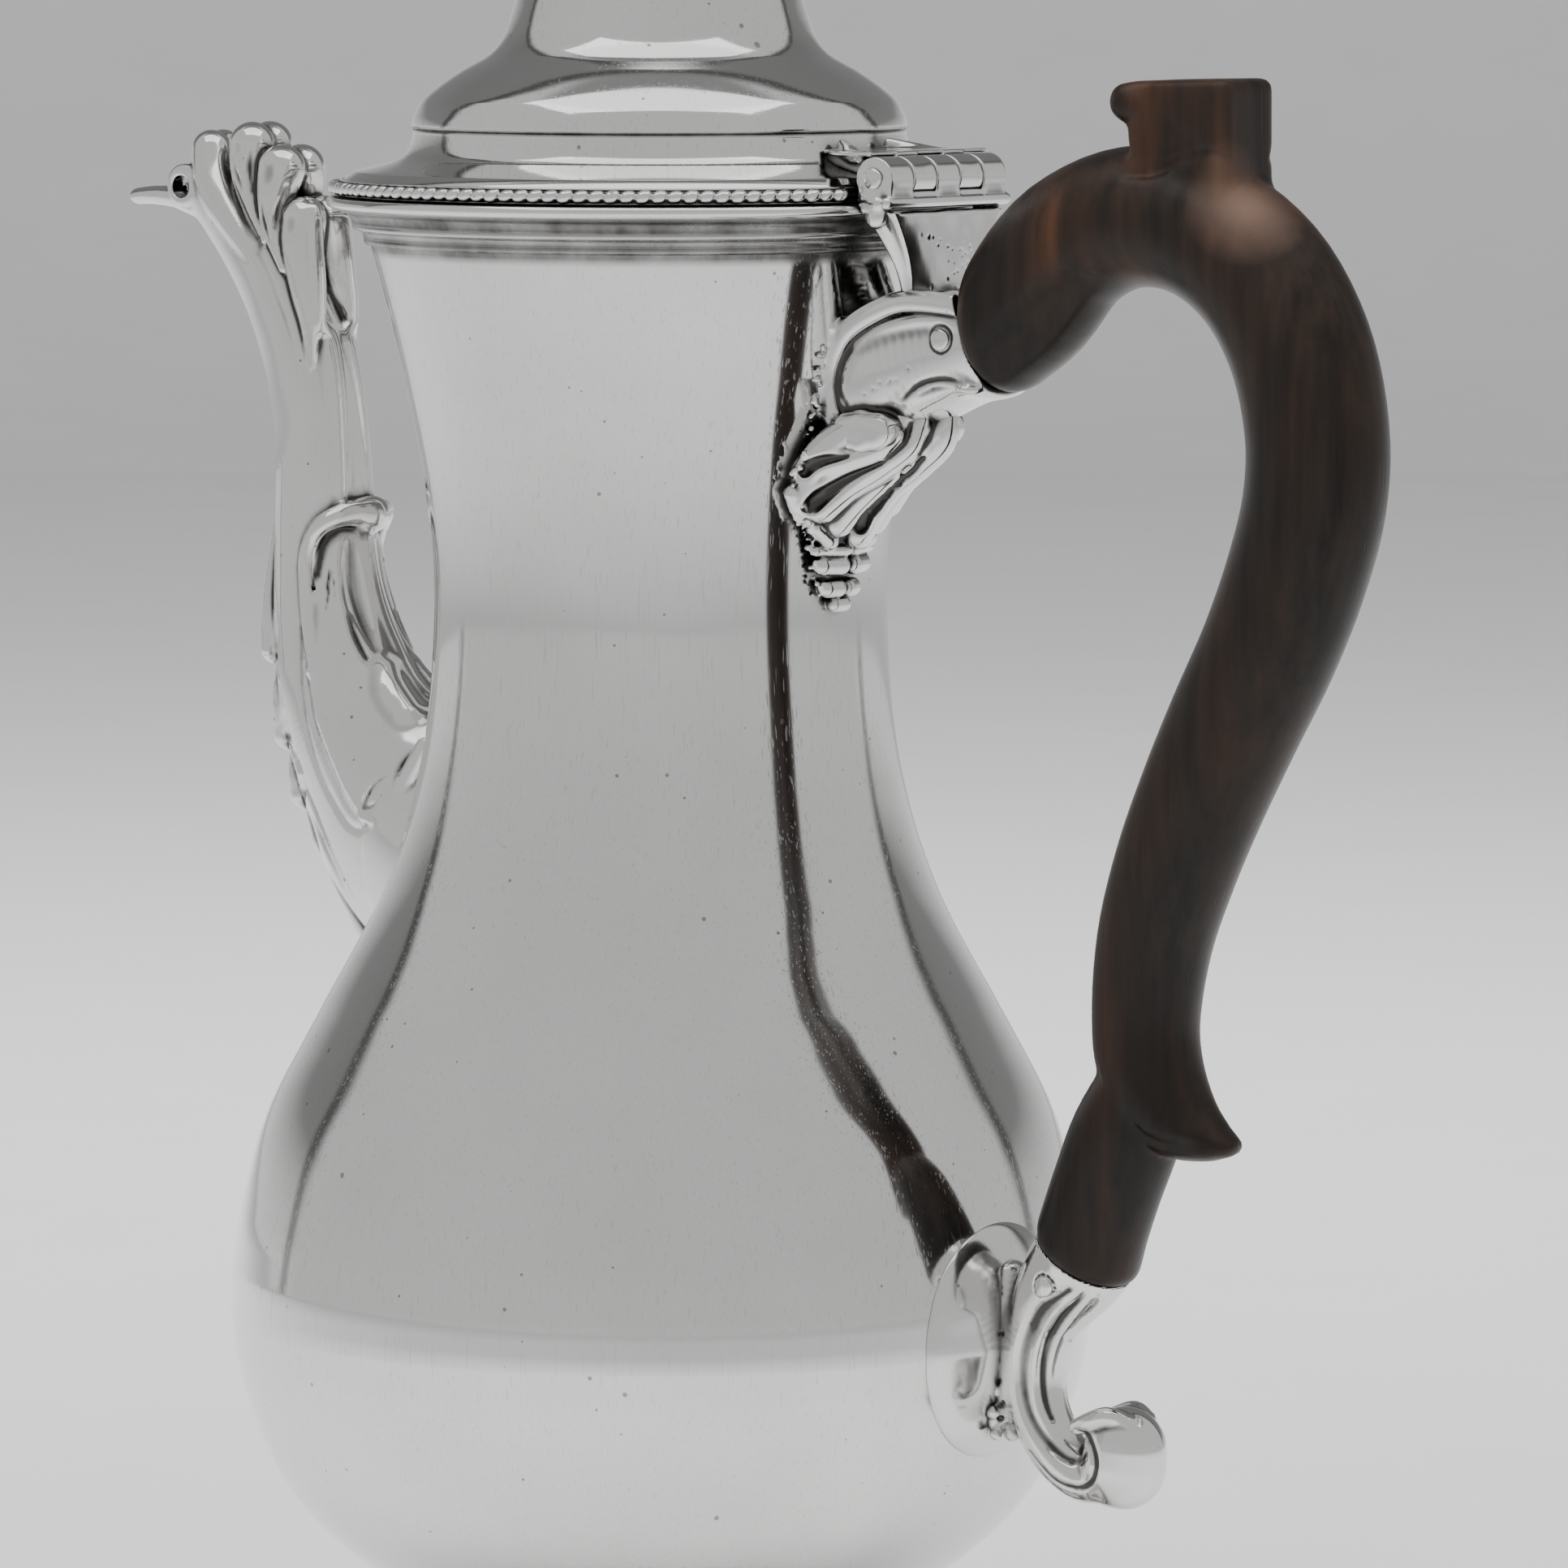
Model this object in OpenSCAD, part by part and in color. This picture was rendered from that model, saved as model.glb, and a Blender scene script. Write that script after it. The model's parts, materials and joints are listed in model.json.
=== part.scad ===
// Coffee pot: a raised baluster body on a spreading foot, a hinged domed lid, a cast bird-head spout
// and a carved wooden handle pinned into two cast sockets. Millimetres. The origin is the centre of the
// ring that the foot stands on, +Z is up, the handle is towards +X and the spout towards -X.

/* [Body] */
// Widest outer radius of the belly
belly_r = 61.2; // [60:0.2:62]
// Height of the belly's widest ring
belly_z = 74.5; // [73:0.5:76]
// Narrowest outer radius of the neck
neck_r = 32.1; // [31.5:0.1:32.7]
// Height of the neck's narrowest ring
neck_z = 172; // [170:1:174]
// Thickness of the raised silver sheet
wall = 0.8; // [0.7:0.1:1]
// Outer radius of the neck under the rim moulding
mouth_r = 40.7; // [40.5:0.1:41]
// Height of the rim's flat top, where the lid rests
rim_z = 232.4; // [231.8:0.2:233]

/* [Foot] */
// Outer radius of the foot's base rim
foot_r = 46; // [44:0.5:48]
// Narrowest radius of the foot's stem
stem_r = 19; // [18:0.5:20]
// Height of the base rim
base_rim_h = 5.5; // [5:0.5:6]

/* [Lid] */
// Radius of the lid's bead border, measured to the middle of the beads
bead_ring_r = 45.75; // [45.75:0.05:46]
// Radius of one bead, and of the wire that stands for the row of beads
bead_r = 1.15; // [1:0.05:1.15]
// Height of the lid's low vertical collar above the rim
collar_h = 9.5; // [9:0.25:10]
// Height of the dome above the collar
dome_h = 30.4; // [29:0.2:32]
// Height of the finial above the dome
finial_h = 20.6; // [18:0.2:23]

/* [Hinge] */
// Length of the five-knuckle hinge barrel
hinge_len = 27; // [25:0.5:28]
// Outer radius of the knuckles
knuckle_r = 3; // [2.8:0.1:3]
// Radius of the hinge pin
hinge_pin_r = 1.1; // [1:0.05:1.2]

/* [Handle] */
// Half thickness of the grip in the handle's plane at its middle
grip_half = 9.7; // [9.3:0.1:10]
// Radius of the two tenons that enter the sockets
tenon_r = 5; // [4.6:0.1:5.2]
// Radius of the silver pins through the sockets
socket_pin_r = 1.35; // [1.2:0.05:1.45]

/* [Spout] */
// Half thickness of the spout's slender neck
spout_half = 6.8; // [6.5:0.1:7]
// Wall thickness of the cast spout
spout_wall = 1.3; // [1.1:0.1:1.4]

/* [Hidden] */
silver = "silver";
polished = "gainsboro";
dark_wood = "#2b2320";
eps = 0.01;
fit = 0.05;
around = 72;

// ---- curves ----
function lerp(a, b, t) = a + (b - a) * t;
function unit(v) = v / norm(v);
function catmull(a, b, c, d, t) =
    0.5 * (2 * b + (c - a) * t + (2 * a - 5 * b + 4 * c - d) * t * t + (3 * b - a - 3 * c + d) * t * t * t);
// A smooth curve through points of any dimension, with n steps between each pair
function spline(p, n) = concat(
    [for (i = [0:len(p) - 2]) for (k = [0:n - 1])
        catmull(p[max(i - 1, 0)], p[i], p[i + 1], p[min(i + 2, len(p) - 1)], k / n)],
    [p[len(p) - 1]]);
function arc(c, r, a0, a1, n = 6) = [for (k = [0:n]) c + r * [cos(lerp(a0, a1, k / n)), sin(lerp(a0, a1, k / n))]];
function reversed(p) = [for (i = [len(p) - 1:-1:0]) p[i]];
function tangent(p, i) = unit(p[min(i + 1, len(p) - 1)] - p[max(i - 1, 0)]);
// An [r, z] outline that runs upwards, moved towards the axis by t
function inside(p, t) = [for (i = [0:len(p) - 1]) p[i] + t * [-tangent(p, i)[1], tangent(p, i)[0]]];

module turned(outline) {
    rotate_extrude($fn = around) polygon(outline);
}

// A turned sheet whose outside is the outline, running upwards
module sheet(outline, t) {
    turned(concat(outline, reversed(inside(outline, t))));
}

// ---- swept castings ----
function power(v, e) = sign(v) * pow(abs(v), e);
// One section at station i, [x, z, half thickness in the plane y = 0, half width across it]
function section(s, i, sides, square) =
    let (t = tangent([for (q = s) [q[0], q[1]]], i))
    [for (k = [0:sides - 1])
        let (a = 360 * k / sides, u = s[i][2] * power(cos(a), square), v = s[i][3] * power(sin(a), square))
        [s[i][0] - t[1] * u, v, s[i][1] + t[0] * u]];
// A solid swept through stations in the plane y = 0, rounder as square goes to 1
module swept(s, sides = 16, square = 1) {
    n = len(s);
    polyhedron(
        points = [for (i = [0:n - 1]) each section(s, i, sides, square)],
        faces = concat(
            [[for (k = [sides - 1:-1:0]) k]],
            [[for (k = [0:sides - 1]) (n - 1) * sides + k]],
            [for (i = [0:n - 2]) for (k = [0:sides - 1])
                let (a = i * sides + k, b = i * sides + (k + 1) % sides)
                each [[a, b + sides, a + sides], [a, b, b + sides]]]));
}
module across(x, z, r, y0, y1, fn = 32) {
    translate([x, y1, z]) rotate([90, 0, 0]) cylinder(r = r, h = y1 - y0, $fn = fn);
}

// ---- body ----
body_base_z = 30.6;
body_base_r = stem_r + 3;
belly_low = [for (k = [[0.681, 0.911], [0.393, 0.754], [0.148, 0.483]])
    [lerp(belly_r, body_base_r, k[0]), lerp(belly_z, body_base_z, k[1])]];
belly_high = [for (k = [[0.8625, 0.751], [0.601, 0.585], [0.258, 0.394], [0.065, 0.205]])
    [lerp(neck_r, belly_r, k[0]), lerp(neck_z, belly_z, k[1])]];
neck_top_z = rim_z - 6.8;
neck_high = [for (k = [[0.1, 0.315], [0.47, 0.654], [1, 1]])
    [lerp(neck_r, mouth_r, k[0]), lerp(neck_z, neck_top_z, k[1])]];
mouth_top_r = mouth_r + 1.7;
body_points = concat([[body_base_r, body_base_z]], belly_low, [[belly_r, belly_z]], belly_high,
    [[neck_r, neck_z]], neck_high, [[mouth_top_r, rim_z - 0.8]]);
body_outline = concat(spline(body_points, 4), [[mouth_top_r, rim_z]]);

// The solid that the body's outside encloses between two heights, grown by more
module body_solid(z0, z1, more = 0) {
    between = [for (q = inside(body_outline, -more)) if (q[1] >= z0 && q[1] <= z1) q];
    turned(concat([[0, between[0][1]]], between, [[0, between[len(between) - 1][1]]]));
}

spout_hole_z = 138;
spout_hole_r = 8;
module body_shell() {
    color(silver) difference() {
        turned(concat([[0, body_base_z]], body_outline,
            reversed(inside(body_outline, wall)), [[0, body_base_z + wall]]));
        translate([-belly_r, 0, spout_hole_z]) rotate([0, 90, 0])
            cylinder(r = spout_hole_r, h = belly_r, $fn = 48);
    }
}

lip_r = mouth_top_r + 3.8;
module body_rim_moulding() {
    bed = [for (q = body_outline) if (q[1] >= neck_top_z - eps) q];
    color(polished) turned(concat(
        arc([mouth_r + 0.4, neck_top_z + 0.6], 0.6, -90, 45, 4),
        arc([mouth_r + 1.9, neck_top_z + 1.1], 0.9, 195, 110, 4),
        arc([mouth_r + 2.2, neck_top_z + 2.6], 0.45, -80, 50, 4),
        arc([mouth_r + 4.2, neck_top_z + 3.1], 1.5, 185, 100, 5),
        arc([lip_r, rim_z - 0.8], 0.8, -75, 90, 6),
        reversed(bed)));
}

// ---- foot ----
foot_shoulder_r = foot_r - 5.5;
foot_shoulder_z = base_rim_h + 3.5;
foot_bead_ring_r = foot_r - 3.2;
foot_outline = spline([[foot_shoulder_r, foot_shoulder_z], [foot_r - 12, foot_shoulder_z + 1.7],
    [stem_r + 7, foot_shoulder_z + 5], [stem_r + 1.4, 21], [stem_r, 26], [stem_r + 1.6, body_base_z - 0.6]], 5);
module foot_stem() {
    skirt = [[foot_r - 4.6, base_rim_h], [foot_r - 4.6, foot_shoulder_z - 0.8]];
    outside = concat(skirt, foot_outline);
    color(silver) difference() {
        turned(concat(outside, [[stem_r + 1.6, body_base_z + 3], [stem_r - 1, body_base_z + 3]],
            reversed(inside(outside, 1))));
        body_solid(body_base_z - 1, belly_z);
    }
}
module foot_bead_border() {
    color(polished) translate([0, 0, base_rim_h + bead_r])
        rotate_extrude($fn = around) translate([foot_r - 4.6 + bead_r, 0]) circle(r = bead_r, $fn = 24);
}
module foot_base_rim() {
    inner = foot_r - 6.5;
    color(silver) turned(concat(
        [[inner, 0], [foot_r - 0.3, 0]],
        arc([foot_r - 0.9, 1.2], 0.9, -30, 60, 4),
        arc([foot_r + 0.2, 3.4], 1.5, 210, 130, 5),
        arc([foot_r - 1.7, base_rim_h - 0.6], 0.6, 0, 90, 4),
        [[inner, base_rim_h]]));
}

// ---- hinge ----
hinge_x = 47.5;
hinge_z = rim_z + 3.6;
hinge_gap = 0.1;
knuckle_len = hinge_len / 5;
leaf_top_z = hinge_z + knuckle_r + 0.6;
module knuckles(which) {
    for (i = which)
        across(hinge_x, hinge_z, knuckle_r, -hinge_len / 2 + i * knuckle_len + hinge_gap / 2,
            -hinge_len / 2 + (i + 1) * knuckle_len - hinge_gap / 2, 48);
}
module pin_hole(r) {
    across(hinge_x, hinge_z, r, -hinge_len, hinge_len, 48);
}
bracket_back_x = hinge_x - 0.4;
bracket_foot_z = 216.5;
ledge_z = hinge_z - knuckle_r - 1.6;
ledge_h = 1.4;
// The upright web under the hinge, waisted from the full width down to its foot
module bracket_web() {
    half = hinge_len / 2;
    waist = 6;
    intersection() {
        translate([bracket_back_x, 0, 0]) rotate([90, 0, 90]) linear_extrude(knuckle_r + 0.6)
            polygon(concat(
                arc([half, ledge_z + 0.2 - waist], waist, 90, 180, 6), [[half - waist, bracket_foot_z]],
                [[waist - half, bracket_foot_z]], arc([-half, ledge_z + 0.2 - waist], waist, 0, 90, 6)));
        rotate([90, 0, 0]) translate([0, 0, -half]) linear_extrude(hinge_len)
            polygon([[bracket_back_x, bracket_foot_z], [bracket_back_x + 2, bracket_foot_z],
                [bracket_back_x + 3.4, ledge_z + 0.2], [bracket_back_x, ledge_z + 0.2]]);
    }
}
module hinge_bracket() {
    half = hinge_len / 2;
    color(polished) difference() {
        union() {
            knuckles([0, 2, 4]);
            for (i = [0, 2, 4])
                translate([bracket_back_x, -half + i * knuckle_len + hinge_gap / 2, ledge_z + ledge_h - 0.2])
                    cube([knuckle_r + 0.2, knuckle_len - hinge_gap, hinge_z - ledge_z - ledge_h + 0.2]);
            translate([bracket_back_x, -half - 0.4, ledge_z])
                cube([knuckle_r + 1.1, hinge_len + 0.8, ledge_h]);
            bracket_web();
        }
        pin_hole(hinge_pin_r);
    }
}
module hinge_pin() {
    color(polished) union() {
        across(hinge_x, hinge_z, hinge_pin_r, -hinge_len / 2 - 0.1, hinge_len / 2 + 0.1, 48);
        for (s = [-1, 1])
            translate([hinge_x, s * (hinge_len / 2 + 0.1), hinge_z]) rotate([-s * 90, 0, 0])
                cylinder(r1 = hinge_pin_r + 0.35, r2 = hinge_pin_r - 0.1, h = 0.5, $fn = 48);
    }
}
module hinge_lid_leaf() {
    plate_z = hinge_z + knuckle_r - 0.7;
    half = hinge_len / 2;
    color(polished) difference() {
        union() {
            knuckles([1, 3]);
            for (i = [1, 3])
                translate([hinge_x - knuckle_r, -half + i * knuckle_len + hinge_gap / 2, hinge_z])
                    cube([knuckle_r, knuckle_len - hinge_gap, leaf_top_z - hinge_z]);
            difference() {
                translate([0, 0, hinge_z + knuckle_r + 0.1]) linear_extrude(leaf_top_z - hinge_z - knuckle_r - 0.1)
                    polygon(concat([[hinge_x, -half], [hinge_x, half]],
                        arc([38, half + 1.5], 4.5, -20, -110, 5), arc([38, -half - 1.5], 4.5, 110, 20, 5)));
                cylinder(r = collar_r + 0.55, h = 2 * leaf_top_z, $fn = around);
            }
            difference() {
                translate([33, -half * 0.55, hinge_z - 0.2])
                    cube([hinge_x - knuckle_r - 33.35, half * 1.1, leaf_top_z - hinge_z + 0.2]);
                turned(concat([[0, rim_z]], lid_foot_outline, [[0, rim_z + collar_h]]));
            }
        }
        pin_hole(hinge_pin_r + fit);
    }
}

// ---- lid ----
collar_r = 34.7;
flange_z = rim_z + 0.9;
// The collar's outside, from the flange's edge up to the seam under the dome
lid_foot_outline = concat([[bead_ring_r - bead_r, flange_z], [bead_ring_r - bead_r, flange_z + 1.5]],
    spline([[43, rim_z + 3.5], [40.2, rim_z + 4.1], [37.1, rim_z + 5], [collar_r + 0.75, rim_z + 6.3],
        [collar_r, rim_z + collar_h - 0.6]], 4), [[collar_r, rim_z + collar_h]]);
module hinge_notch() {
    translate([hinge_x - knuckle_r - 0.3, -hinge_len / 2 - 0.7, rim_z - 5])
        cube([10, hinge_len + 1.4, 20]);
}
module lid_collar() {
    color(silver) difference() {
        sheet(lid_foot_outline, 0.8);
        hinge_notch();
    }
}
dome_z = rim_z + collar_h;
dome_top_z = dome_z + dome_h;
module lid_dome() {
    lower = concat([[collar_r + 0.2, dome_z]], spline([[collar_r + 0.2, dome_z + 0.6],
        [collar_r - 0.2, dome_z + 1.9], [33.3, dome_z + 4], [31, dome_z + 6], [27.9, dome_z + 8.1]], 4));
    upper = spline([[27.4, dome_z + 8.4], [24, dome_z + 10.3], [22, dome_z + 12.8], [20.7, dome_z + 16.5],
        [19.5, dome_z + 20.2], [17.2, dome_z + 24.2], [12.6, dome_z + 27.9], [6, dome_z + 30],
        [2.5, dome_top_z]], 4);
    color(silver) difference() {
        sheet(concat(lower, upper), 0.8);
        translate([0, 0, dome_z]) cylinder(r = stud_r + fit, h = 2 * dome_h, $fn = 32);
    }
}
module lid_bezel() {
    inner_r = mouth_r - 1.1;
    color(silver) difference() {
        turned([[inner_r, rim_z - 2.6], [inner_r + 0.6, rim_z - 2.6], [inner_r + 0.8, rim_z - 2.2],
            [inner_r + 0.8, rim_z + 0.1], [bead_ring_r - bead_r, rim_z + 0.1],
            [bead_ring_r - bead_r, flange_z], [inner_r, flange_z]]);
        hinge_notch();
    }
}
module lid_bead_border() {
    gap = asin((hinge_len / 2 + 0.7) / bead_ring_r);
    color(polished) translate([0, 0, rim_z + 0.15 + bead_r]) rotate([0, 0, gap])
        rotate_extrude(angle = 360 - 2 * gap, $fn = around) translate([bead_ring_r, 0]) circle(r = bead_r, $fn = 24);
}

// ---- finial ----
stud_r = 1.4;
module finial() {
    z = dome_top_z - 0.2;
    h = finial_h;
    color(polished) turned(concat(
        [[0, z - 4.6], [stud_r, z - 4.6], [stud_r, z + 0.35], [4.6, z + 0.35]],
        arc([4.4, z + 1], 0.7, -60, 90, 4),
        spline([[3.2, z + 0.09 * h], [1.9, z + 0.17 * h], [2.6, z + 0.27 * h], [5.6, z + 0.42 * h],
            [6.1, z + 0.52 * h], [4.4, z + 0.66 * h], [2.2, z + 0.78 * h], [1.3, z + 0.87 * h]], 4),
        arc([0, z + 0.94 * h], 0.06 * h, -25, 90, 6)));
}
module finial_washer() {
    color(polished) translate([0, 0, dome_top_z - 1.75]) difference() {
        cylinder(r = 3.6, h = 0.5, $fn = 48);
        translate([0, 0, -1]) cylinder(r = stud_r + fit, h = 3, $fn = 32);
    }
}
module finial_nut() {
    color(polished) translate([0, 0, dome_top_z - 3.8]) difference() {
        cylinder(r = 3.1, h = 2.05, $fn = 6);
        translate([0, 0, -1]) cylinder(r = stud_r, h = 5, $fn = 32);
    }
}

// ---- handle ----
// Each mouth is the middle of the plane where the wood meets a socket, as [x, z] at y = 0
upper_mouth = [58.2, 213.2];
lower_mouth = [73.2, 87.2];
upper_axis = unit([1, 0.24]);
lower_axis = unit([0.52, 0.85]);
upper_pin = [54.3, 214];
lower_pin = [71.6, 84.6];
upper_tenon_h = 12;
lower_tenon_h = 9;
function beyond(p, d, t) = [p[0] + d[0] * t, p[1] + d[1] * t];
module along(p, d, r0, r1, h) {
    translate([p[0], 0, p[1]]) rotate([0, atan2(d[0], d[1]), 0]) cylinder(r1 = r0, r2 = r1, h = h, $fn = 48);
}
// Everything within reach past the plane across a socket's mouth
module past_mouth(p, d) {
    along(p, d, 20, 20, 20);
}
module upper_tenon() {
    along(beyond(upper_mouth, upper_axis, -upper_tenon_h), upper_axis, tenon_r - 0.4, tenon_r, upper_tenon_h + 3);
}
module lower_tenon() {
    along(beyond(lower_mouth, lower_axis, -lower_tenon_h), lower_axis, tenon_r - 0.4, tenon_r, lower_tenon_h + 4);
}
g = grip_half;
// The wood's end stands 2.4 above the middle of the socket's mouth
wood_end = [upper_mouth[0] - 0.55, upper_mouth[1] + 2.35];
grip_stations = [[wood_end[0] - 2, wood_end[1] - 0.6, g * 0.9, g * 0.9],
    [wood_end[0] + 1.6, wood_end[1] + 0.6, g * 1.06, g * 1.02], [64.2, 220, g * 1.04, g * 1.02],
    [71.5, 227.3, g, g], [81.5, 231.2, g * 0.98, g],
    [92.5, 230, g * 0.98, g], [102.2, 224, g, g], [108.6, 214.6, g, g], [111.5, 203.5, g, g],
    [111.2, 193.5, g, g], [108.3, 183.5, g * 0.98, g], [104, 173.5, g * 0.95, g * 0.98],
    [98.6, 163.5, g * 0.92, g * 0.95], [93.3, 153.1, g * 0.89, g * 0.92], [88.8, 143, g * 0.86, g * 0.88],
    [85.4, 132.7, g * 0.8, g * 0.83], [83.9, 122, g * 0.74, g * 0.79], [84.8, 114.5, g * 0.74, g * 0.77],
    [89, 108.6, g * 0.54, g * 0.68], [94.3, 106, g * 0.32, g * 0.5], [97.6, 105.2, g * 0.12, g * 0.25]];
heel_stations = [[84, 113, g * 0.7, g * 0.7], [81, 105.5, g * 0.82, g * 0.76], [78, 99, g * 0.76, g * 0.73],
    [75.2, 92.5, g * 0.71, g * 0.7], [lower_mouth[0] - 0.6, lower_mouth[1] - 1, g * 0.64, g * 0.64]];
spur = [91.4, 246.6];
module handle() {
    color(dark_wood) difference() {
        union() {
            difference() {
                union() {
                    swept(spline(grip_stations, 2), 16, 0.85);
                    swept(spline(heel_stations, 2), 16, 0.85);
                }
                past_mouth(upper_mouth, -upper_axis);
                past_mouth(lower_mouth, -lower_axis);
            }
            hull() {
                across(spur[0], spur[1], 3.1, -8.2, 8.2);
                across(spur[0] + 1.2, spur[1] - 11, 2.6, -6, 6);
            }
            upper_tenon();
            lower_tenon();
        }
        across(upper_pin[0], upper_pin[1], socket_pin_r, -12, 12);
        across(lower_pin[0], lower_pin[1], socket_pin_r, -12, 12);
    }
}

// ---- sockets ----
upper_half_y = 8.3;
cup_stations = [[28, 207, 11, 9.4], [36, 207.4, 10.8, 9.2], [44, 209, 9.8, 8.8], [51, 211.2, 8.2, 8.4],
    [upper_mouth[0], upper_mouth[1], 7.4, 8], [upper_mouth[0] + 3, upper_mouth[1] + 0.7, 7.4, 8]];
// Middle of the raised band that curls round each cheek, as [x, z]
scroll_path = [[57, 220.3], [49.5, 220], [42.8, 218], [37.5, 213.3], [35.6, 206.5], [37.2, 200.6], [41.2, 198.6]];
module scroll_knob() {
    across(41.8, 201.4, 2.9, -upper_half_y - 1.6, upper_half_y + 1.6);
}
module upper_cup() {
    difference() {
        swept(spline(cup_stations, 3));
        past_mouth(upper_mouth, upper_axis);
    }
}
module upper_handle_socket() {
    color(polished) difference() {
        union() {
            upper_cup();
            for (s = [-1, 1])
                translate([0, s * upper_half_y, 0]) swept(spline([for (q = scroll_path) [q[0], q[1], 1, 1.5]], 3), 8);
            scroll_knob();
            translate([44, -7, bracket_foot_z - 2]) cube([7.4, 14, 2]);
        }
        body_solid(170, rim_z - 2);
        upper_tenon();
        past_mouth(upper_mouth, upper_axis);
        across(upper_pin[0], upper_pin[1], socket_pin_r, -12, 12);
        bracket_web();
    }
}
module upper_shell_drop() {
    color(polished) difference() {
        swept(spline([[54.3, 201.6, 1.6, 6], [50, 198.6, 2.6, 7.2], [44.6, 195.4, 3.8, 8.8], [39.2, 190.8, 4.4, 11],
            [34.8, 184.5, 3.4, 7.2], [33, 179, 2.4, 4], [32.5, 174.8, 1.2, 1.4]], 3));
        body_solid(165, rim_z - 2);
        upper_cup();
        scroll_knob();
    }
}
module upper_socket_pin() {
    color(polished) across(upper_pin[0], upper_pin[1], socket_pin_r, -8.6, 8.6);
}

backplate_z = 75.2;
backplate_r = 16.4;
backplate_h = 1.8;
module lower_socket_backplate() {
    color(polished) difference() {
        intersection() {
            body_solid(50, 105, backplate_h);
            translate([40, 0, backplate_z]) rotate([0, 90, 0]) cylinder(r = backplate_r, h = 40, $fn = 64);
        }
        body_solid(45, 110);
    }
}
ball = [80.9, 60.9];
ball_r = 5.2;
module lower_handle_socket() {
    color(polished) difference() {
        union() {
            swept(spline([[lower_mouth[0] + 1.5, lower_mouth[1] + 2.4, 7.1, 6.9], [71, 83.6, 6.6, 6.5],
                [67.8, 79, 5, 5.2], [66, 73, 3.8, 4.6], [66.6, 67, 3.5, 4.5], [69.8, 61.6, 3.3, 4.4],
                [74.6, 58.8, 3, 4.2], [79, 59.6, 2.6, 3.9]], 3));
            translate([ball[0], 0, ball[1]]) sphere(r = ball_r, $fn = 48);
            translate([56, 0, 76]) rotate([0, 90, 0]) cylinder(r = 5, h = 10, $fn = 48);
        }
        body_solid(45, 110, backplate_h);
        lower_tenon();
        past_mouth(lower_mouth, lower_axis);
        across(lower_pin[0], lower_pin[1], socket_pin_r, -12, 12);
    }
}
module lower_socket_pin() {
    color(polished) across(lower_pin[0], lower_pin[1], socket_pin_r, -7.1, 7.1);
}

// ---- spout ----
s = spout_half;
spout_stations = [[-30, 134, 21, 10.5], [-41, 138, 19, 11], [-50, 146, 14.5, 10.8], [-57, 157, s * 1.65, s * 1.45],
    [-61, 169, s * 1.28, s * 1.2], [-62.1, 181, s * 1.04, s * 1.04], [-62.8, 193, s, s], [-64.6, 205, s, s * 0.97],
    [-68.6, 215.5, s * 0.98, s * 0.95], [-74.5, 224, s * 0.96, s * 0.92], [-81, 230.6, s * 0.9, s * 0.82],
    [-86.6, 233.4, s * 0.66, s * 0.66]];
passage_end = [[-92, 236.5, s * 0.5, s * 0.5], [-97, 240, s * 0.5, s * 0.5]];
// The two cheeks of leaf that clasp the neck, each half way out from the middle plane
calyx_y = 6.6;
calyx_stations = [[-44, 146, 9, 2.2], [-48.5, 153, 8.4, 2.4], [-52, 160.5, 7, 2.4], [-53.8, 168, 5.8, 2.2],
    [-54.4, 174.5, 5, 2], [-54, 180.5, 4.2, 1.7], [-52.6, 185, 2.2, 1.2]];
front_leaf = [[-55, 127, 1.5, 3], [-61.2, 136, 1.8, 5], [-65.3, 146, 1.9, 6], [-68.6, 158, 1.8, 6.2],
    [-69.8, 170, 1.5, 5.4], [-69.6, 179, 1.1, 3.6], [-69.4, 186, 0.6, 1.2]];
beak = [[-84, 230.4, 3.4, 4.8], [-89, 230.4, 2.2, 3.6], [-94, 230.5, 1.3, 2.4], [-98, 230.8, 0.6, 1.2]];
// Brow and three feathers of the crest, as [x, z, radius]
crest = [[-83.2, 236, 4.2], [-77, 237.4, 4.2], [-71, 234.2, 4.2], [-65.8, 226.4, 3.8]];
module spout_casting() {
    difference() {
        union() {
            swept(spline(spout_stations, 3));
            for (s = [-1, 1])
                translate([0, s * calyx_y, 0]) swept(spline(calyx_stations, 2), 12);
            swept(spline(front_leaf, 2), 12);
            swept(spline(beak, 2), 12);
            for (c = crest)
                translate([c[0], 0, c[1]]) sphere(r = c[2], $fn = 24);
        }
        swept(spline(concat([for (q = spout_stations) [q[0], q[1], q[2] - spout_wall, q[3] - spout_wall]],
            passage_end), 3), 12);
        body_solid(100, 190);
    }
}
module spout_left_half() {
    color(silver) intersection() {
        spout_casting();
        translate([-110, -20, 90]) cube([90, 20, 170]);
    }
}
module spout_right_half() {
    color(silver) intersection() {
        spout_casting();
        translate([-110, 0, 90]) cube([90, 20, 170]);
    }
}

body_shell();
body_rim_moulding();
foot_stem();
foot_bead_border();
foot_base_rim();
spout_left_half();
spout_right_half();
upper_handle_socket();
upper_shell_drop();
upper_socket_pin();
lower_handle_socket();
lower_socket_backplate();
lower_socket_pin();
handle();
hinge_bracket();
hinge_pin();
hinge_lid_leaf();
lid_collar();
lid_dome();
lid_bezel();
lid_bead_border();
finial();
finial_washer();
finial_nut();
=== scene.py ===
"""The looks of a silver coffee pot with a dark wooden handle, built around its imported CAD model."""

import copy
import json
import math

import bmesh
import bpy
import numpy as np
from mathutils import Matrix, Vector, noise


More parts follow.
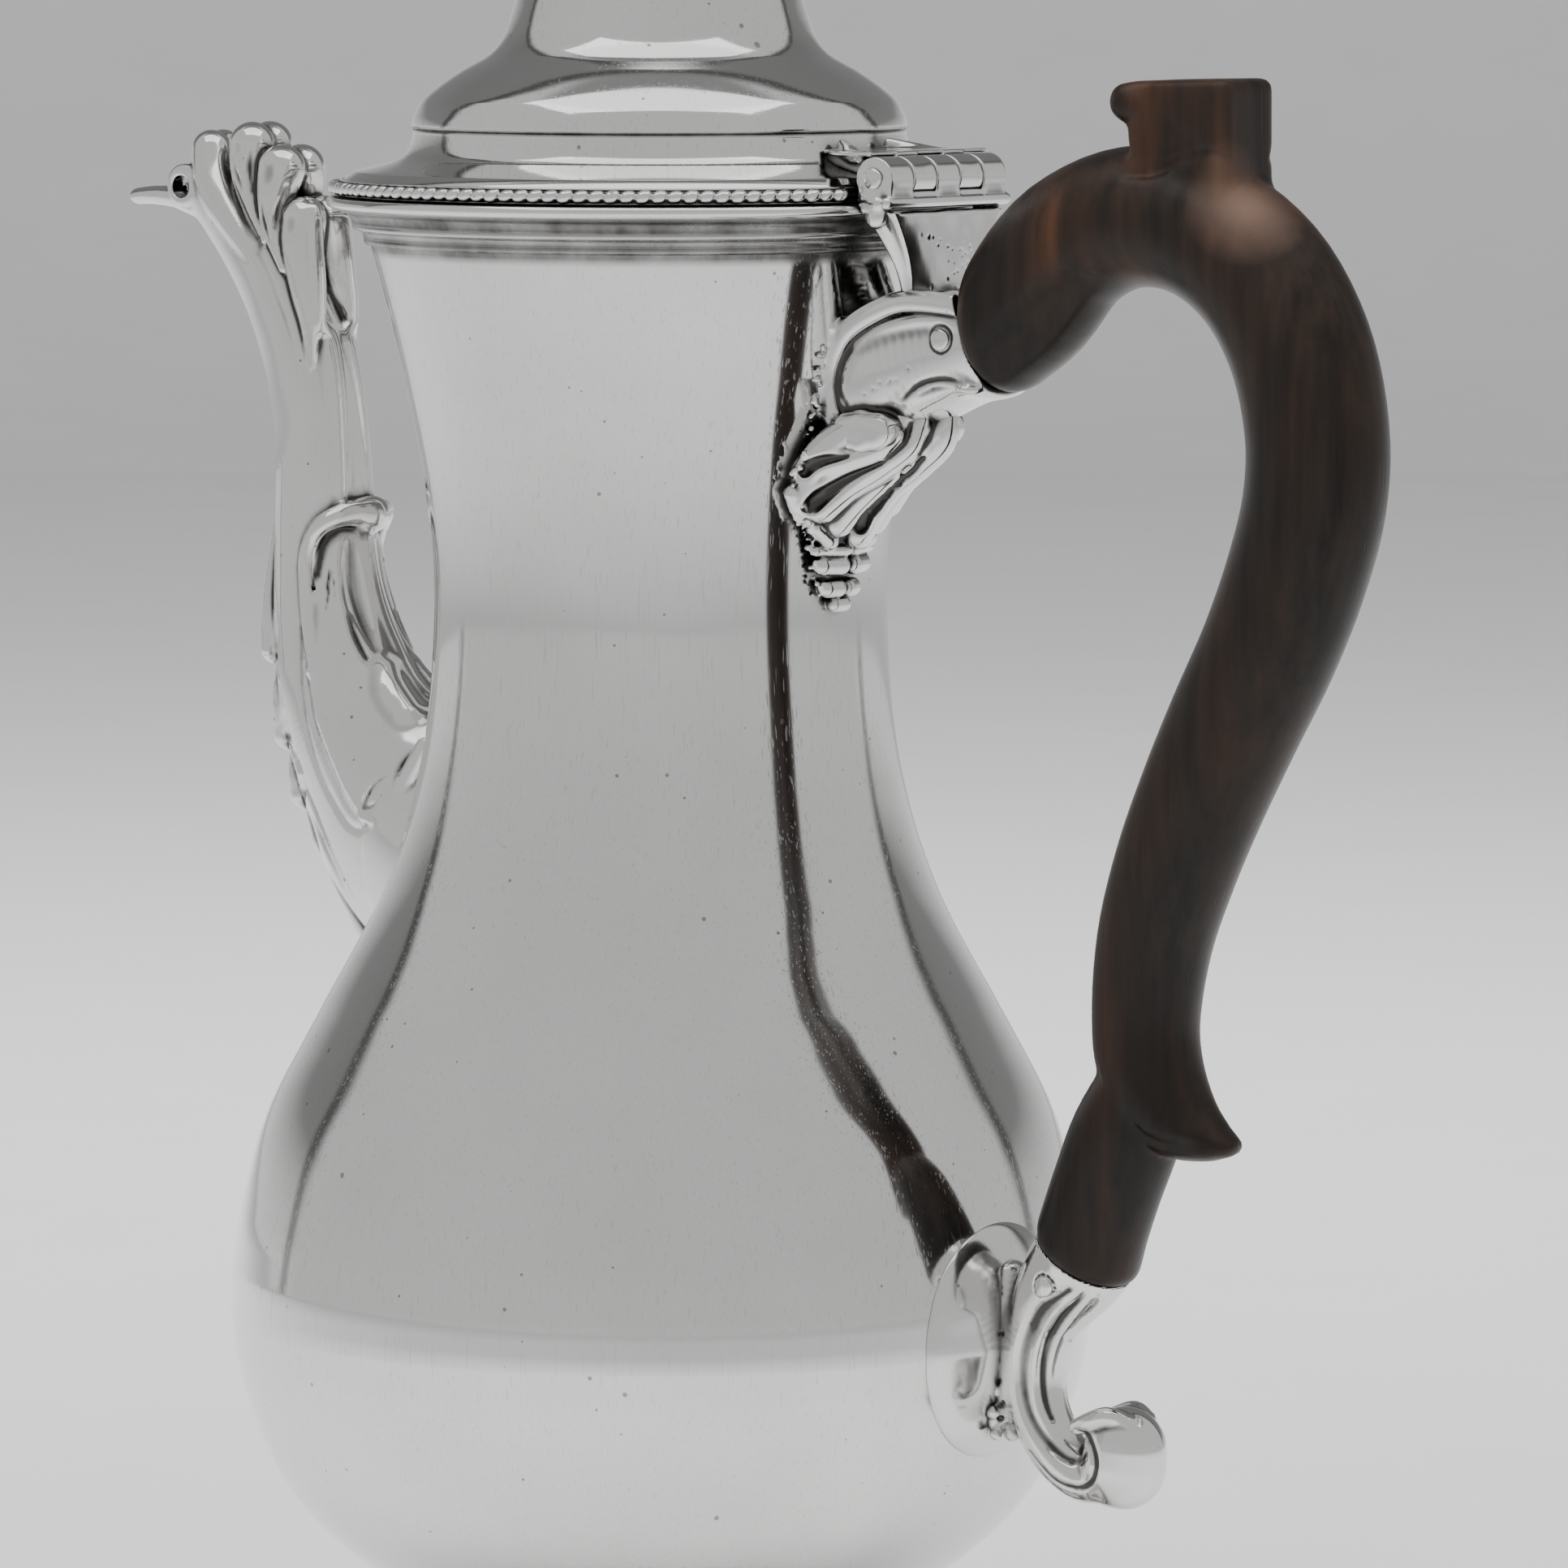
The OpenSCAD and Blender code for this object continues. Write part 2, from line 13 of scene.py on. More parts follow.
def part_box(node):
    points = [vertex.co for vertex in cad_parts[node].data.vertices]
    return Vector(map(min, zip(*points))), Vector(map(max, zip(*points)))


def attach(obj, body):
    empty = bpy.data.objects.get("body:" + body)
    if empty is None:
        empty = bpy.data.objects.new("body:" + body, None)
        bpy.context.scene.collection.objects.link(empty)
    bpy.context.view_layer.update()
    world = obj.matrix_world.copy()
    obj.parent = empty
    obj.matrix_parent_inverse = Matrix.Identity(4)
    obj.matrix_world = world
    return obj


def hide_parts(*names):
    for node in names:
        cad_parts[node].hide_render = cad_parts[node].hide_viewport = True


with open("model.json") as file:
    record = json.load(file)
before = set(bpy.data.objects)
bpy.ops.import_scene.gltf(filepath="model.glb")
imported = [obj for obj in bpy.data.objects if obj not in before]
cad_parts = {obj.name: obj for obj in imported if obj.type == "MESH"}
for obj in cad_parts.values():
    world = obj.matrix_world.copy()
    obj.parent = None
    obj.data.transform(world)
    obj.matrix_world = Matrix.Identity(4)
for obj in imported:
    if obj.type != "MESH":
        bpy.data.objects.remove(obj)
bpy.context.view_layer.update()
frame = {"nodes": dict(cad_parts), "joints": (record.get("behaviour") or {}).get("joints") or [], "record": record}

MM = 0.001
NODES = frame["nodes"]
HINGE = frame["joints"][0]["pos_m"]
POT, LID = "pot", "lid"
FOOT_CENTRE = np.array([0.0, 0.0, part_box("foot_base_rim")[0].z])
# The middle of the brown patch on the grip's shoulder, partly wear and partly a painted highlight.
SHOULDER = (0.1045, -0.0065, 0.2342)
BUMP_DEPTH = 0.0001
CORNER_REACH = 0.0028


# ---- materials ----
def new_material(name):
    material = bpy.data.materials.new(name)
    material.use_nodes = True
    tree = material.node_tree
    return material, tree, tree.nodes["Principled BSDF"]


def add_node(tree, kind, **values):
    node = tree.nodes.new(kind)
    for key, value in values.items():
        if key in node.inputs:
            node.inputs[key].default_value = value
        else:
            setattr(node, key, value)
    return node


def ramp(tree, source, stops):
    """A colour ramp on source, with (position, grey or colour) stops."""
    node = tree.nodes.new("ShaderNodeValToRGB")
    elements = node.color_ramp.elements
    while len(elements) < len(stops):
        elements.new(0.5)
    for element, (position, colour) in zip(elements, stops):
        element.position = position
        element.color = (*colour, 1) if hasattr(colour, "__len__") else (colour, colour, colour, 1)
    tree.links.new(source, node.inputs["Fac"])
    return node.outputs["Color"]


def maths(tree, operation, a, b):
    node = add_node(tree, "ShaderNodeMath", operation=operation)
    for socket, value in zip(node.inputs, (a, b)):
        if isinstance(value, (int, float)):
            socket.default_value = value
        else:
            tree.links.new(value, socket)
    return node.outputs[0]


def mixed(tree, factor, a, b):
    node = add_node(tree, "ShaderNodeMix", data_type="RGBA")
    tree.links.new(factor, node.inputs["Factor"])
    for socket, value in zip((node.inputs["A"], node.inputs["B"]), (a, b)):
        if isinstance(value, tuple):
            socket.default_value = (*value, 1)
        else:
            tree.links.new(value, socket)
    return node.outputs["Result"]


def stretched_noise(tree, turn, scale, detail=2.0):
    """Noise in object space, turned and stretched, so that its streaks run one way."""
    place = tree.nodes.new("ShaderNodeTexCoord")
    mapping = add_node(tree, "ShaderNodeMapping")
    mapping.inputs["Rotation"].default_value = [math.radians(a) for a in turn]
    mapping.inputs["Scale"].default_value = scale
    tree.links.new(place.outputs["Object"], mapping.inputs["Vector"])
    texture = add_node(tree, "ShaderNodeTexNoise", Scale=1.0, Detail=detail, Roughness=0.6)
    tree.links.new(mapping.outputs["Vector"], texture.inputs["Vector"])
    return texture.outputs["Fac"]


def silver(name, roughness, scratches, pits, tarnish_and_painted_shade):
    """Worn polished silver: hairline scratches every way, small pits, cloudy wear, and recesses darkened partly by
    tarnish and partly by painted shade.
    """
    material, tree, shader = new_material(name)
    link = tree.links.new
    shader.inputs["Metallic"].default_value = 1.0
    cloud = stretched_noise(tree, (20, 30, 0), (38, 38, 30), 4.0)
    fine_cloud = stretched_noise(tree, (0, 50, 10), (160, 160, 120), 3.0)
    turns = ((15, 40, 0), (-35, 20, 60), (70, -25, 110), (5, -60, 35), (-20, 75, 80))
    lines = None
    for turn in turns:
        streak = ramp(tree, stretched_noise(tree, turn, (2600, 2600, 60), 1.0), ((0.69, 0.0), (0.75, 1.0)))
        lines = streak if lines is None else maths(tree, "MAXIMUM", lines, streak)
    place = tree.nodes.new("ShaderNodeTexCoord")
    cells = add_node(tree, "ShaderNodeTexVoronoi", Scale=330.0)
    link(place.outputs["Object"], cells.inputs["Vector"])
    pit_size = ramp(tree, fine_cloud, ((0.49, 0.0), (0.72, 0.17)))
    pit = maths(tree, "LESS_THAN", cells.outputs["Distance"], pit_size)
    height = maths(tree, "MULTIPLY", lines, -0.12 * scratches)
    height = maths(tree, "ADD", height, maths(tree, "MULTIPLY", pit, -1.0 * pits))
    height = maths(tree, "ADD", height, maths(tree, "MULTIPLY", fine_cloud, 0.05))
    bump = add_node(tree, "ShaderNodeBump", Strength=0.12, Distance=BUMP_DEPTH)
    link(height, bump.inputs["Height"])
    link(bump.outputs["Normal"], shader.inputs["Normal"])
    rough = ramp(tree, cloud, ((0.35, roughness * 0.8), (0.7, roughness * 1.35)))
    rough = maths(tree, "ADD", rough, maths(tree, "MULTIPLY", lines, 0.08 * scratches))
    # Painted shade: ambient occlusion and the stored hollowness darken corners, grooves and seams, partly as
    # tarnish and partly standing in for shade.
    shade = add_node(tree, "ShaderNodeAmbientOcclusion", samples=8, Distance=CORNER_REACH)
    corner = ramp(tree, shade.outputs["AO"], ((0.35, 1.0), (0.82, 0.0)))
    hollow = add_node(tree, "ShaderNodeAttribute", attribute_name="hollow")
    groove = ramp(tree, hollow.outputs["Fac"], ((0.08, 0.0), (0.55, 1.0)))
    uneven = maths(tree, "ADD", maths(tree, "MULTIPLY", fine_cloud, 0.9), 0.45)
    dirt_and_painted_shade = maths(tree, "MULTIPLY", maths(tree, "MAXIMUM", corner, groove), uneven)
    dirt_and_painted_shade = maths(tree, "MAXIMUM", maths(tree, "MULTIPLY", dirt_and_painted_shade, tarnish_and_painted_shade), maths(tree, "MULTIPLY", pit, 0.6))
    dirt_and_painted_shade = maths(tree, "MAXIMUM", dirt_and_painted_shade, maths(tree, "MULTIPLY", lines, 0.1 * scratches))
    dirt_and_painted_shade = maths(tree, "MINIMUM", dirt_and_painted_shade, 0.94)
    link(maths(tree, "ADD", rough, maths(tree, "MULTIPLY", dirt_and_painted_shade, 0.22)), shader.inputs["Roughness"])
    clean = ramp(tree, cloud, ((0.3, (0.86, 0.855, 0.845)), (0.75, (0.79, 0.785, 0.775))))
    # The base colour runs to near-black with the tarnish and painted shade, and in pits and scratches.
    link(mixed(tree, dirt_and_painted_shade, clean, (0.035, 0.032, 0.03)), shader.inputs["Base Color"])
    return material


def ebony(name):
    """Oiled near-black hardwood, with fine pores along the grip and a browner patch on its shoulder that is partly
    wear and partly a painted highlight.
    """
    material, tree, shader = new_material(name)
    link = tree.links.new
    shader.inputs["Specular IOR Level"].default_value = 0.24
    shader.inputs["Coat Weight"].default_value = 0.05
    shader.inputs["Coat Roughness"].default_value = 0.32
    streak = stretched_noise(tree, (0, 12, 0), (420, 420, 22), 4.0)
    bands = stretched_noise(tree, (0, 20, 0), (110, 110, 12), 3.0)
    worn = stretched_noise(tree, (0, 0, 0), (24, 24, 24), 2.0)
    browns = ((0.4, (0.006, 0.0045, 0.0035)), (0.58, (0.028, 0.013, 0.007)), (0.8, (0.10, 0.038, 0.016)))
    dark = ramp(tree, streak, ((0.35, (0.0038, 0.0032, 0.0028)), (0.65, (0.019, 0.0125, 0.009))))
    share = ramp(tree, worn, ((0.4, 0.15), (0.72, 0.85)))
    colour = mixed(tree, share, dark, ramp(tree, bands, browns))
    # Browner patch round the shoulder: partly wear, partly a painted highlight.
    place = tree.nodes.new("ShaderNodeTexCoord")
    away = add_node(tree, "ShaderNodeVectorMath", operation="DISTANCE")
    link(place.outputs["Object"], away.inputs[0])
    away.inputs[1].default_value = SHOULDER
    wear_and_painted_highlight = maths(tree, "ADD", away.outputs["Value"], maths(tree, "MULTIPLY", worn, 0.012))
    wear_and_painted_highlight = ramp(tree, wear_and_painted_highlight, ((0.0065, 0.8), (0.0145, 0.0)))
    link(mixed(tree, wear_and_painted_highlight, colour, (0.17, 0.10, 0.068)), shader.inputs["Base Color"])
    link(ramp(tree, worn, ((0.3, 0.33), (0.75, 0.44))), shader.inputs["Roughness"])
    pores = ramp(tree, stretched_noise(tree, (0, 12, 0), (1500, 1500, 70), 2.0), ((0.28, 0.0), (0.4, 1.0)))
    bump = add_node(tree, "ShaderNodeBump", Strength=0.2, Distance=BUMP_DEPTH)
    link(pores, bump.inputs["Height"])
    link(bump.outputs["Normal"], shader.inputs["Normal"])
    return material


MATERIALS = {
    "silver_sheet": silver("silver_sheet_satin", 0.08, 1.4, 1.0, 0.8),
    "silver_moulding": silver("silver_moulding_polished", 0.11, 0.6, 0.8, 0.9),
    "silver_casting": silver("silver_casting_polished", 0.10, 0.4, 1.0, 1.2),
    "silver_fitting": silver("silver_fitting_polished", 0.12, 0.6, 0.8, 1.0),
    "dark_hardwood": ebony("ebony_oiled"),
}
for entry in frame["record"]["subparts"]:
    NODES[entry["node"]].data.materials.clear()
    NODES[entry["node"]].data.materials.append(MATERIALS[entry["material_slot"]])


# ---- building pieces ----
def grid_faces(rings, sides, base=0, shut=False, flip=False):
    """Faces between rings of points, each closed round, and from the last ring to the first if shut."""
    faces = []
    for i in range(rings if shut else rings - 1):
        for k in range(sides):
            here, ahead = base + i * sides, base + (i + 1) % rings * sides
            a, b, c, d = here + k, here + (k + 1) % sides, ahead + (k + 1) % sides, ahead + k
            faces.append((a, d, c, b) if flip else (a, b, c, d))
    return faces


def ring_place(node):
    """Half the depth along Y and the middle height of a CAD node, in millimetres."""
    low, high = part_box(node)
    return (high.y - low.y) / 2 / MM, (high.z + low.z) / 2 / MM


def smooth_object(name, mesh):
    mesh.validate()
    mesh.polygons.foreach_set("use_smooth", np.ones(len(mesh.polygons), bool))
    piece = bpy.data.objects.new(name, mesh)
    bpy.context.scene.collection.objects.link(piece)
    return piece


def mesh_piece(name, points, faces):
    """A smooth mesh object from lists of points in metres and of faces."""
    mesh = bpy.data.meshes.new(name)
    mesh.from_pydata([tuple(p) for p in points], [], faces)
    return smooth_object(name, mesh)


def quick_mesh(name, points, faces):
    """The same from arrays, in millimetres from the foot's centre, where every face has four corners."""
    mesh = bpy.data.meshes.new(name)
    mesh.vertices.add(len(points))
    mesh.vertices.foreach_set("co", np.ascontiguousarray(points * MM + FOOT_CENTRE, np.float32).ravel())
    mesh.loops.add(faces.size)
    mesh.loops.foreach_set("vertex_index", np.ascontiguousarray(faces, np.int32).ravel())
    mesh.polygons.add(len(faces))
    mesh.polygons.foreach_set("loop_start", np.arange(0, faces.size, 4, dtype=np.int32))
    mesh.update(calc_edges=True)
    return smooth_object(name, mesh)


def place_piece(piece, body, slot, *nodes):
    """Gives a finished piece its material and its body, and hides the CAD nodes that it stands for."""
    piece.data.materials.clear()
    piece.data.materials.append(MATERIALS[slot])
    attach(piece, body)
    if nodes:
        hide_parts(*nodes)
    return piece


def cut_outline(node):
    """The closed outline, as (radius, height) points in metres, of a turned CAD node at one angle round Z."""
    turn = Matrix.Rotation(math.radians(-CUT_ANGLE), 4, "Z")
    mesh = bmesh.new()
    mesh.from_mesh(NODES[node].data)
    mesh.transform(turn)
    bmesh.ops.remove_doubles(mesh, verts=mesh.verts, dist=2e-6)
    cut = bmesh.ops.bisect_plane(mesh, geom=mesh.verts[:] + mesh.edges[:] + mesh.faces[:], plane_co=(0, 0, 0),
                                 plane_no=(0, 1, 0), clear_inner=True, clear_outer=True)["geom_cut"]
    other_side = [v for v in cut if isinstance(v, bmesh.types.BMVert) and v.co.x < -1e-5]
    bmesh.ops.delete(mesh, geom=other_side, context="VERTS")
    bmesh.ops.remove_doubles(mesh, verts=mesh.verts, dist=5e-6)
    ends = [v for v in mesh.verts if len(v.link_edges) == 1]
    here = min(ends, key=lambda v: v.co.z) if ends else max(mesh.verts, key=lambda v: v.co.x)
    outline, seen = [], set()
    while here is not None:
        seen.add(here)
        outline.append((max(here.co.x, 0.0), here.co.z))
        ahead = [e.other_vert(here) for e in here.link_edges if e.other_vert(here) not in seen]
        here = ahead[0] if ahead else None
    mesh.free()
    return outline


def turn_at(points, i):
    """How far the outline turns at point i, in degrees."""
    a, b, c = (Vector(points[k % len(points)]) for k in (i - 1, i, i + 1))
    if (b - a).length < 1e-9 or (c - b).length < 1e-9:
        return 0.0
    return math.degrees((b - a).angle(c - b))


def eased(run):
    """A run of outline points as a cubic spline that takes its facets out, with its two ends kept."""
    points = np.array(run)
    for _ in range(3):
        gaps = np.linalg.norm(np.diff(points, axis=0), axis=1)
        long = np.minimum(gaps[:-1], gaps[1:]) > 0.0025
        middle = points[:-2] / 4 + points[1:-1] / 2 + points[2:] / 4
        points[1:-1][long] = middle[long]
    for _ in range(3):
        result = np.empty((2 * len(points) - 1, 2))
        result[0::2] = points
        result[2:-2:2] = points[1:-1] * 0.75 + (points[:-2] + points[2:]) / 8
        result[1::2] = (points[:-1] + points[1:]) / 2
        points = result
    return points


def thinned(points, pitch=0.0019, bend=5.0, least=0.00011):
    """Fewer points along a smooth run: close together where it bends, far apart where it is straight."""
    kept, turned = [points[0]], 0.0
    for a, b, c in zip(points[:-2], points[1:-1], points[2:]):
        one, two = b - a, c - b
        turned += abs(math.degrees(math.atan2(one[0] * two[1] - one[1] * two[0], float(one @ two))))
        away = float(np.linalg.norm(b - kept[-1]))
        if away > pitch or (turned > bend and away > least):
            kept.append(b)
            turned = 0.0
    return kept + [points[-1]]


def finer(outline, sharp=30.0, edge=0.00014):
    """The same closed outline with its bends made smooth and its sharp corners slightly rounded."""
    kept = [p for i, p in enumerate(outline) if turn_at(outline, i) > 0.25]
    corners = [i for i in range(len(kept)) if turn_at(kept, i) > sharp]
    result = []
    for start, end in zip(corners, corners[1:] + [corners[0] + len(kept)]):
        run = [np.array(kept[k % len(kept)]) for k in range(start, end + 1)]
        for tip, inner in ((0, 1), (-1, -2)):
            ahead = run[inner] - run[tip]
            if np.linalg.norm(ahead) > 6 * edge:
                run.insert(1 if tip == 0 else len(run) - 1,
                           run[tip] + ahead * 3 * edge / np.linalg.norm(ahead))
        lead, tail = run[1] - run[0], run[-2] - run[-1]
        run[0] = run[0] + lead * min(edge / np.linalg.norm(lead), 0.3)
        run[-1] = run[-1] + tail * min(edge / np.linalg.norm(tail), 0.3)
        result += [(float(x), float(z)) for x, z in (thinned(eased(run)) if len(run) > 2 else run)]
    return result


CUT_ANGLE = -87.3
TRUE_CORE = 0.003
NOTCH_HALF = 0.0142
BROAD_WAVES, SMALL_WAVES = 26.0, 75.0


def hand_made(point, amount):
    """How far a hammered and polished surface stands from true, in metres, at a point."""
    broad = noise.noise(Vector(point) * BROAD_WAVES)
    small = noise.noise(Vector(point) * SMALL_WAVES + Vector((7, 3, 5)))
    return amount * (broad + 0.35 * small)


def turned_piece(name, node, body, slot, segments=288, amount=0.00010, clamp_x=None):
    """A fine turned copy of a CAD node, a little untrue as hand work is."""
    outline = finer(cut_outline(node))
    points = []
    for s in range(segments):
        angle = 2 * math.pi * s / segments
        out = Vector((math.cos(angle), math.sin(angle), 0))
        for r, z in outline:
            point = out * r + Vector((0, 0, z))
            if r > TRUE_CORE:
                point += out * hand_made(out * 0.035 + Vector((0, 0, z)), amount)
            if clamp_x is not None and abs(point.y) < NOTCH_HALF:
                point.x = min(point.x, clamp_x)
            points.append(point)
    piece = mesh_piece(name, points, grid_faces(segments, len(outline), shut=True, flip=True))
    mark_hollows(piece, [recess(outline, r, z, slot == "silver_moulding") for r, z in outline] * segments)
    weld(piece, 1e-6)
    return place_piece(piece, body, slot, node)


def recess(outline, r, z, moulded):
    """How hollow a turned piece is at a point of its outline: at a seam, or in the dip between two rolls."""
    seam = max(1 - abs(z - height) / SEAM_HEIGHT for height in SEAMS)
    dip = max(there for there, height in outline if abs(height - z) < ROLL_HEIGHT) - r
    return max(seam, 0.0, min(dip / ROLL_HEIGHT, 1.0) * 0.6 * moulded)


def mark_hollows(piece, values):
    """Stores how hollow each point is, for the tarnish and painted shade that darken the silver's recesses."""
    layer = piece.data.attributes.new("hollow", "FLOAT", "POINT")
    layer.data.foreach_set("value", np.asarray(values, np.float32))


def weld(piece, distance):
    mesh = bmesh.new()
    mesh.from_mesh(piece.data)
    bmesh.ops.remove_doubles(mesh, verts=mesh.verts, dist=distance)
    bmesh.ops.recalc_face_normals(mesh, faces=mesh.faces)
    mesh.to_mesh(piece.data)
    mesh.free()


NOTCH_X = HINGE[0] - 0.0033
SEAM_HEIGHT = 0.00035
ROLL_HEIGHT = 0.0022
SEAMS = [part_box(node)[0].z for node in ("lid_dome", "foot_stem", "body_shell", "body_rim_moulding")]
turned_piece("body_raised", "body_shell", POT, "silver_sheet", 360, 0.00014)
turned_piece("rim_moulding", "body_rim_moulding", POT, "silver_moulding", 360, 0.00006)
turned_piece("foot_raised", "foot_stem", POT, "silver_sheet")
turned_piece("foot_rim", "foot_base_rim", POT, "silver_moulding")
turned_piece("lid_collar_raised", "lid_collar", LID, "silver_sheet", 360, 0.00008, NOTCH_X)
turned_piece("lid_dome_raised", "lid_dome", LID, "silver_sheet", 360, 0.00012)
turned_piece("lid_bezel_ring", "lid_bezel", LID, "silver_sheet", 288, 0.00002, NOTCH_X)
turned_piece("finial_cast", "finial", LID, "silver_casting", 96, 0.00003)


# ---- clay: shapes sculpted as distance fields, in millimetres from the pot's axis and its foot ----
FAR = 60.0
CORNERS = [np.array([i, j, k]) for i in (0, 1) for j in (0, 1) for k in (0, 1)]


def smooth_min(a, b, blend):
    share = np.clip(0.5 + 0.5 * (a - b) / blend, 0, 1)
    return a + (b - a) * share - blend * share * (1 - share)


def smooth_path(points, steps=5):
    """A Catmull-Rom curve through rows of any width."""
    rows = np.array(points, float)
    if len(rows) == 1:
        rows = np.vstack([rows, rows + 1e-6])
    rows = np.vstack([2 * rows[0] - rows[1], rows, 2 * rows[-1] - rows[-2]])
    path = []
    for i in range(1, len(rows) - 2):
        a, b, c, d = rows[i - 1:i + 3]
        bend, twist = 2 * a - 5 * b + 4 * c - d, 3 * b - a - 3 * c + d
        for t in np.arange(steps) / steps:
            path.append(0.5 * (2 * b + (c - a) * t + bend * t**2 + twist * t**3))
    return np.array(path + [rows[-2]])


class Clay:
    """A block of modelling clay: strokes are added to it or cut from it, and it ends as one closed mesh."""

    def __init__(self, low, high, cell):
        self.cell = cell * 1.0
        self.low = np.array(low, float)
        self.count = np.ceil((np.array(high, float) - self.low) / self.cell).astype(int) + 1
        self.field = np.full(self.count, FAR, np.float32)

    def blank(self):
        """Another block on the same grid, with nothing on it yet."""
        other = copy.copy(self)
        other.field = np.full(self.count, FAR, np.float32)
        return other

    def window(self, low, high):
        """The part of the grid between two corners, with its X, Y and Z."""
        first = np.clip(np.floor((low - self.low) / self.cell).astype(int), 0, self.count - 1)
        last = np.clip(np.ceil((high - self.low) / self.cell).astype(int) + 1, first + 1, self.count)
        axes = [(self.low[k] + self.cell * np.arange(first[k], last[k])).astype(np.float32) for k in range(3)]
        here = tuple(slice(a, b) for a, b in zip(first, last))
        return here, axes[0][:, None, None], axes[1][None, :, None], axes[2][None, None, :]

    def everywhere(self):
        return self.window(self.low, self.low + self.count * self.cell)[1:]

    def merge(self, here, shape, blend, cut):
        old = self.field[here]
        self.field[here] = -smooth_min(-old, shape, blend) if cut else smooth_min(old, shape, blend)

    def groove(self, points, blend, snap, steps=5):
        """Cuts a groove on both sides, snap millimetres under the surface, or above it if negative."""
        self.rod(points, blend, True, steps, True, snap)

    def rod(self, points, blend=0.4, cut=False, steps=5, both=False, snap=None):
        """A round rod through (x, y, z, radius) or (x, y, z, radius, Y stretch), on both sides if asked."""
        rows = [tuple(p) + (1.0,) * (5 - len(p)) for p in points]
        path = smooth_path(rows, steps)
        if snap is not None:
            path[:, :3] = self.snapped(path[:, :3], snap)
        path[:, 3] = np.maximum(path[:, 3], 0.05)
        self.stroke(path, blend, cut)
        if both:
            self.stroke(path * np.array([1, -1, 1, 1, 1]), blend, cut)

    def stroke(self, path, blend, cut):
        margin = blend + 2 * self.cell
        reach = path[:, 3] * np.maximum(path[:, 4], 1) + margin
        outer = reach.max() + self.cell
        here = self.window(path[:, :3].min(0) - outer, path[:, :3].max(0) + outer)[0]
        shape = np.full(self.field[here].shape, FAR, np.float32)
        for k in range(len(path) - 1):
            a, b = path[k].astype(np.float32), path[k + 1].astype(np.float32)
            far = max(reach[k], reach[k + 1])
            inner, X, Y, Z = self.window(np.minimum(a[:3], b[:3]) - far, np.maximum(a[:3], b[:3]) + far)
            spot = tuple(slice(s.start - o.start, s.stop - o.start) for s, o in zip(inner, here))
            wide = (a[4] + b[4]) / 2
            px, py, pz = X - a[0], (Y - a[1]) / wide, Z - a[2]
            vx, vy, vz = b[0] - a[0], (b[1] - a[1]) / wide, b[2] - a[2]
            length = max(vx * vx + vy * vy + vz * vz, 1e-9)
            t = np.clip((px * vx + py * vy + pz * vz) / length, 0, 1)
            away = np.sqrt((px - t * vx) ** 2 + (py - t * vy) ** 2 + (pz - t * vz) ** 2)
            shape[spot] = np.minimum(shape[spot], away - (a[3] + t * (b[3] - a[3])))
        self.merge(here, shape, blend, cut)

    def shape(self, distance, blend=0.4, cut=False):
        """Adds or cuts the shape whose signed distance is a function of X, Y and Z."""
        shape = np.broadcast_to(distance(*self.everywhere()), self.field.shape).astype(np.float32)
        self.merge(..., shape, blend, cut)

    def keep(self, distance, blend=0.4):
        """Keeps only what is inside a shape."""
        self.shape(lambda X, Y, Z: -distance(X, Y, Z), blend, cut=True)

    def trim(self, distance):
        """Cuts away what is inside a shape, given as a distance field, with no blend."""
        self.field = np.maximum(self.field, -distance).astype(np.float32)

    def join(self, other, blend):
        """Adds another block on the same grid."""
        self.field = smooth_min(self.field, other.field, blend).astype(np.float32)

    def rough(self, amount, scale, seed):
        """Makes the surface a little uneven, with waves of about scale millimetres."""
        draws = np.random.default_rng(seed)
        X, Y, Z = self.everywhere()
        for _ in range(6):
            way = draws.normal(size=3)
            way *= 2 * np.pi / scale / np.linalg.norm(way) * draws.uniform(0.7, 1.5)
            wave = np.sin(way[0] * X + way[1] * Y + way[2] * Z + draws.uniform(0, 6.28))
            self.field += (amount / 6 * wave).astype(np.float32)

    def sample(self, spots):
        """The field at spots counted in cells, between the grid's own values."""
        base = np.clip(np.floor(spots).astype(int), 0, self.count - 2)
        t = spots - base
        total = np.zeros(len(spots))
        for corner in CORNERS:
            weight = np.prod(np.where(corner, t, 1 - t), axis=1)
            total += weight * self.field[tuple((base + corner).T)]
        return total

    def slope(self, spots, step=0.6):
        sides = np.eye(3) * step
        return np.stack([self.sample(spots + s) - self.sample(spots - s) for s in sides], 1) / (2 * step)

    def snapped(self, points, sink=0.0):
        """Points moved onto the surface as it is now, or sink millimetres under it."""
        spots = (points - self.low) / self.cell
        for _ in range(12):
            slope = self.slope(spots)
            gap = self.sample(spots) + sink
            step = gap[:, None] * slope / np.maximum((slope ** 2).sum(1), 1e-3)[:, None]
            spots = spots - np.clip(step, -2, 2)
        return self.low + spots * self.cell

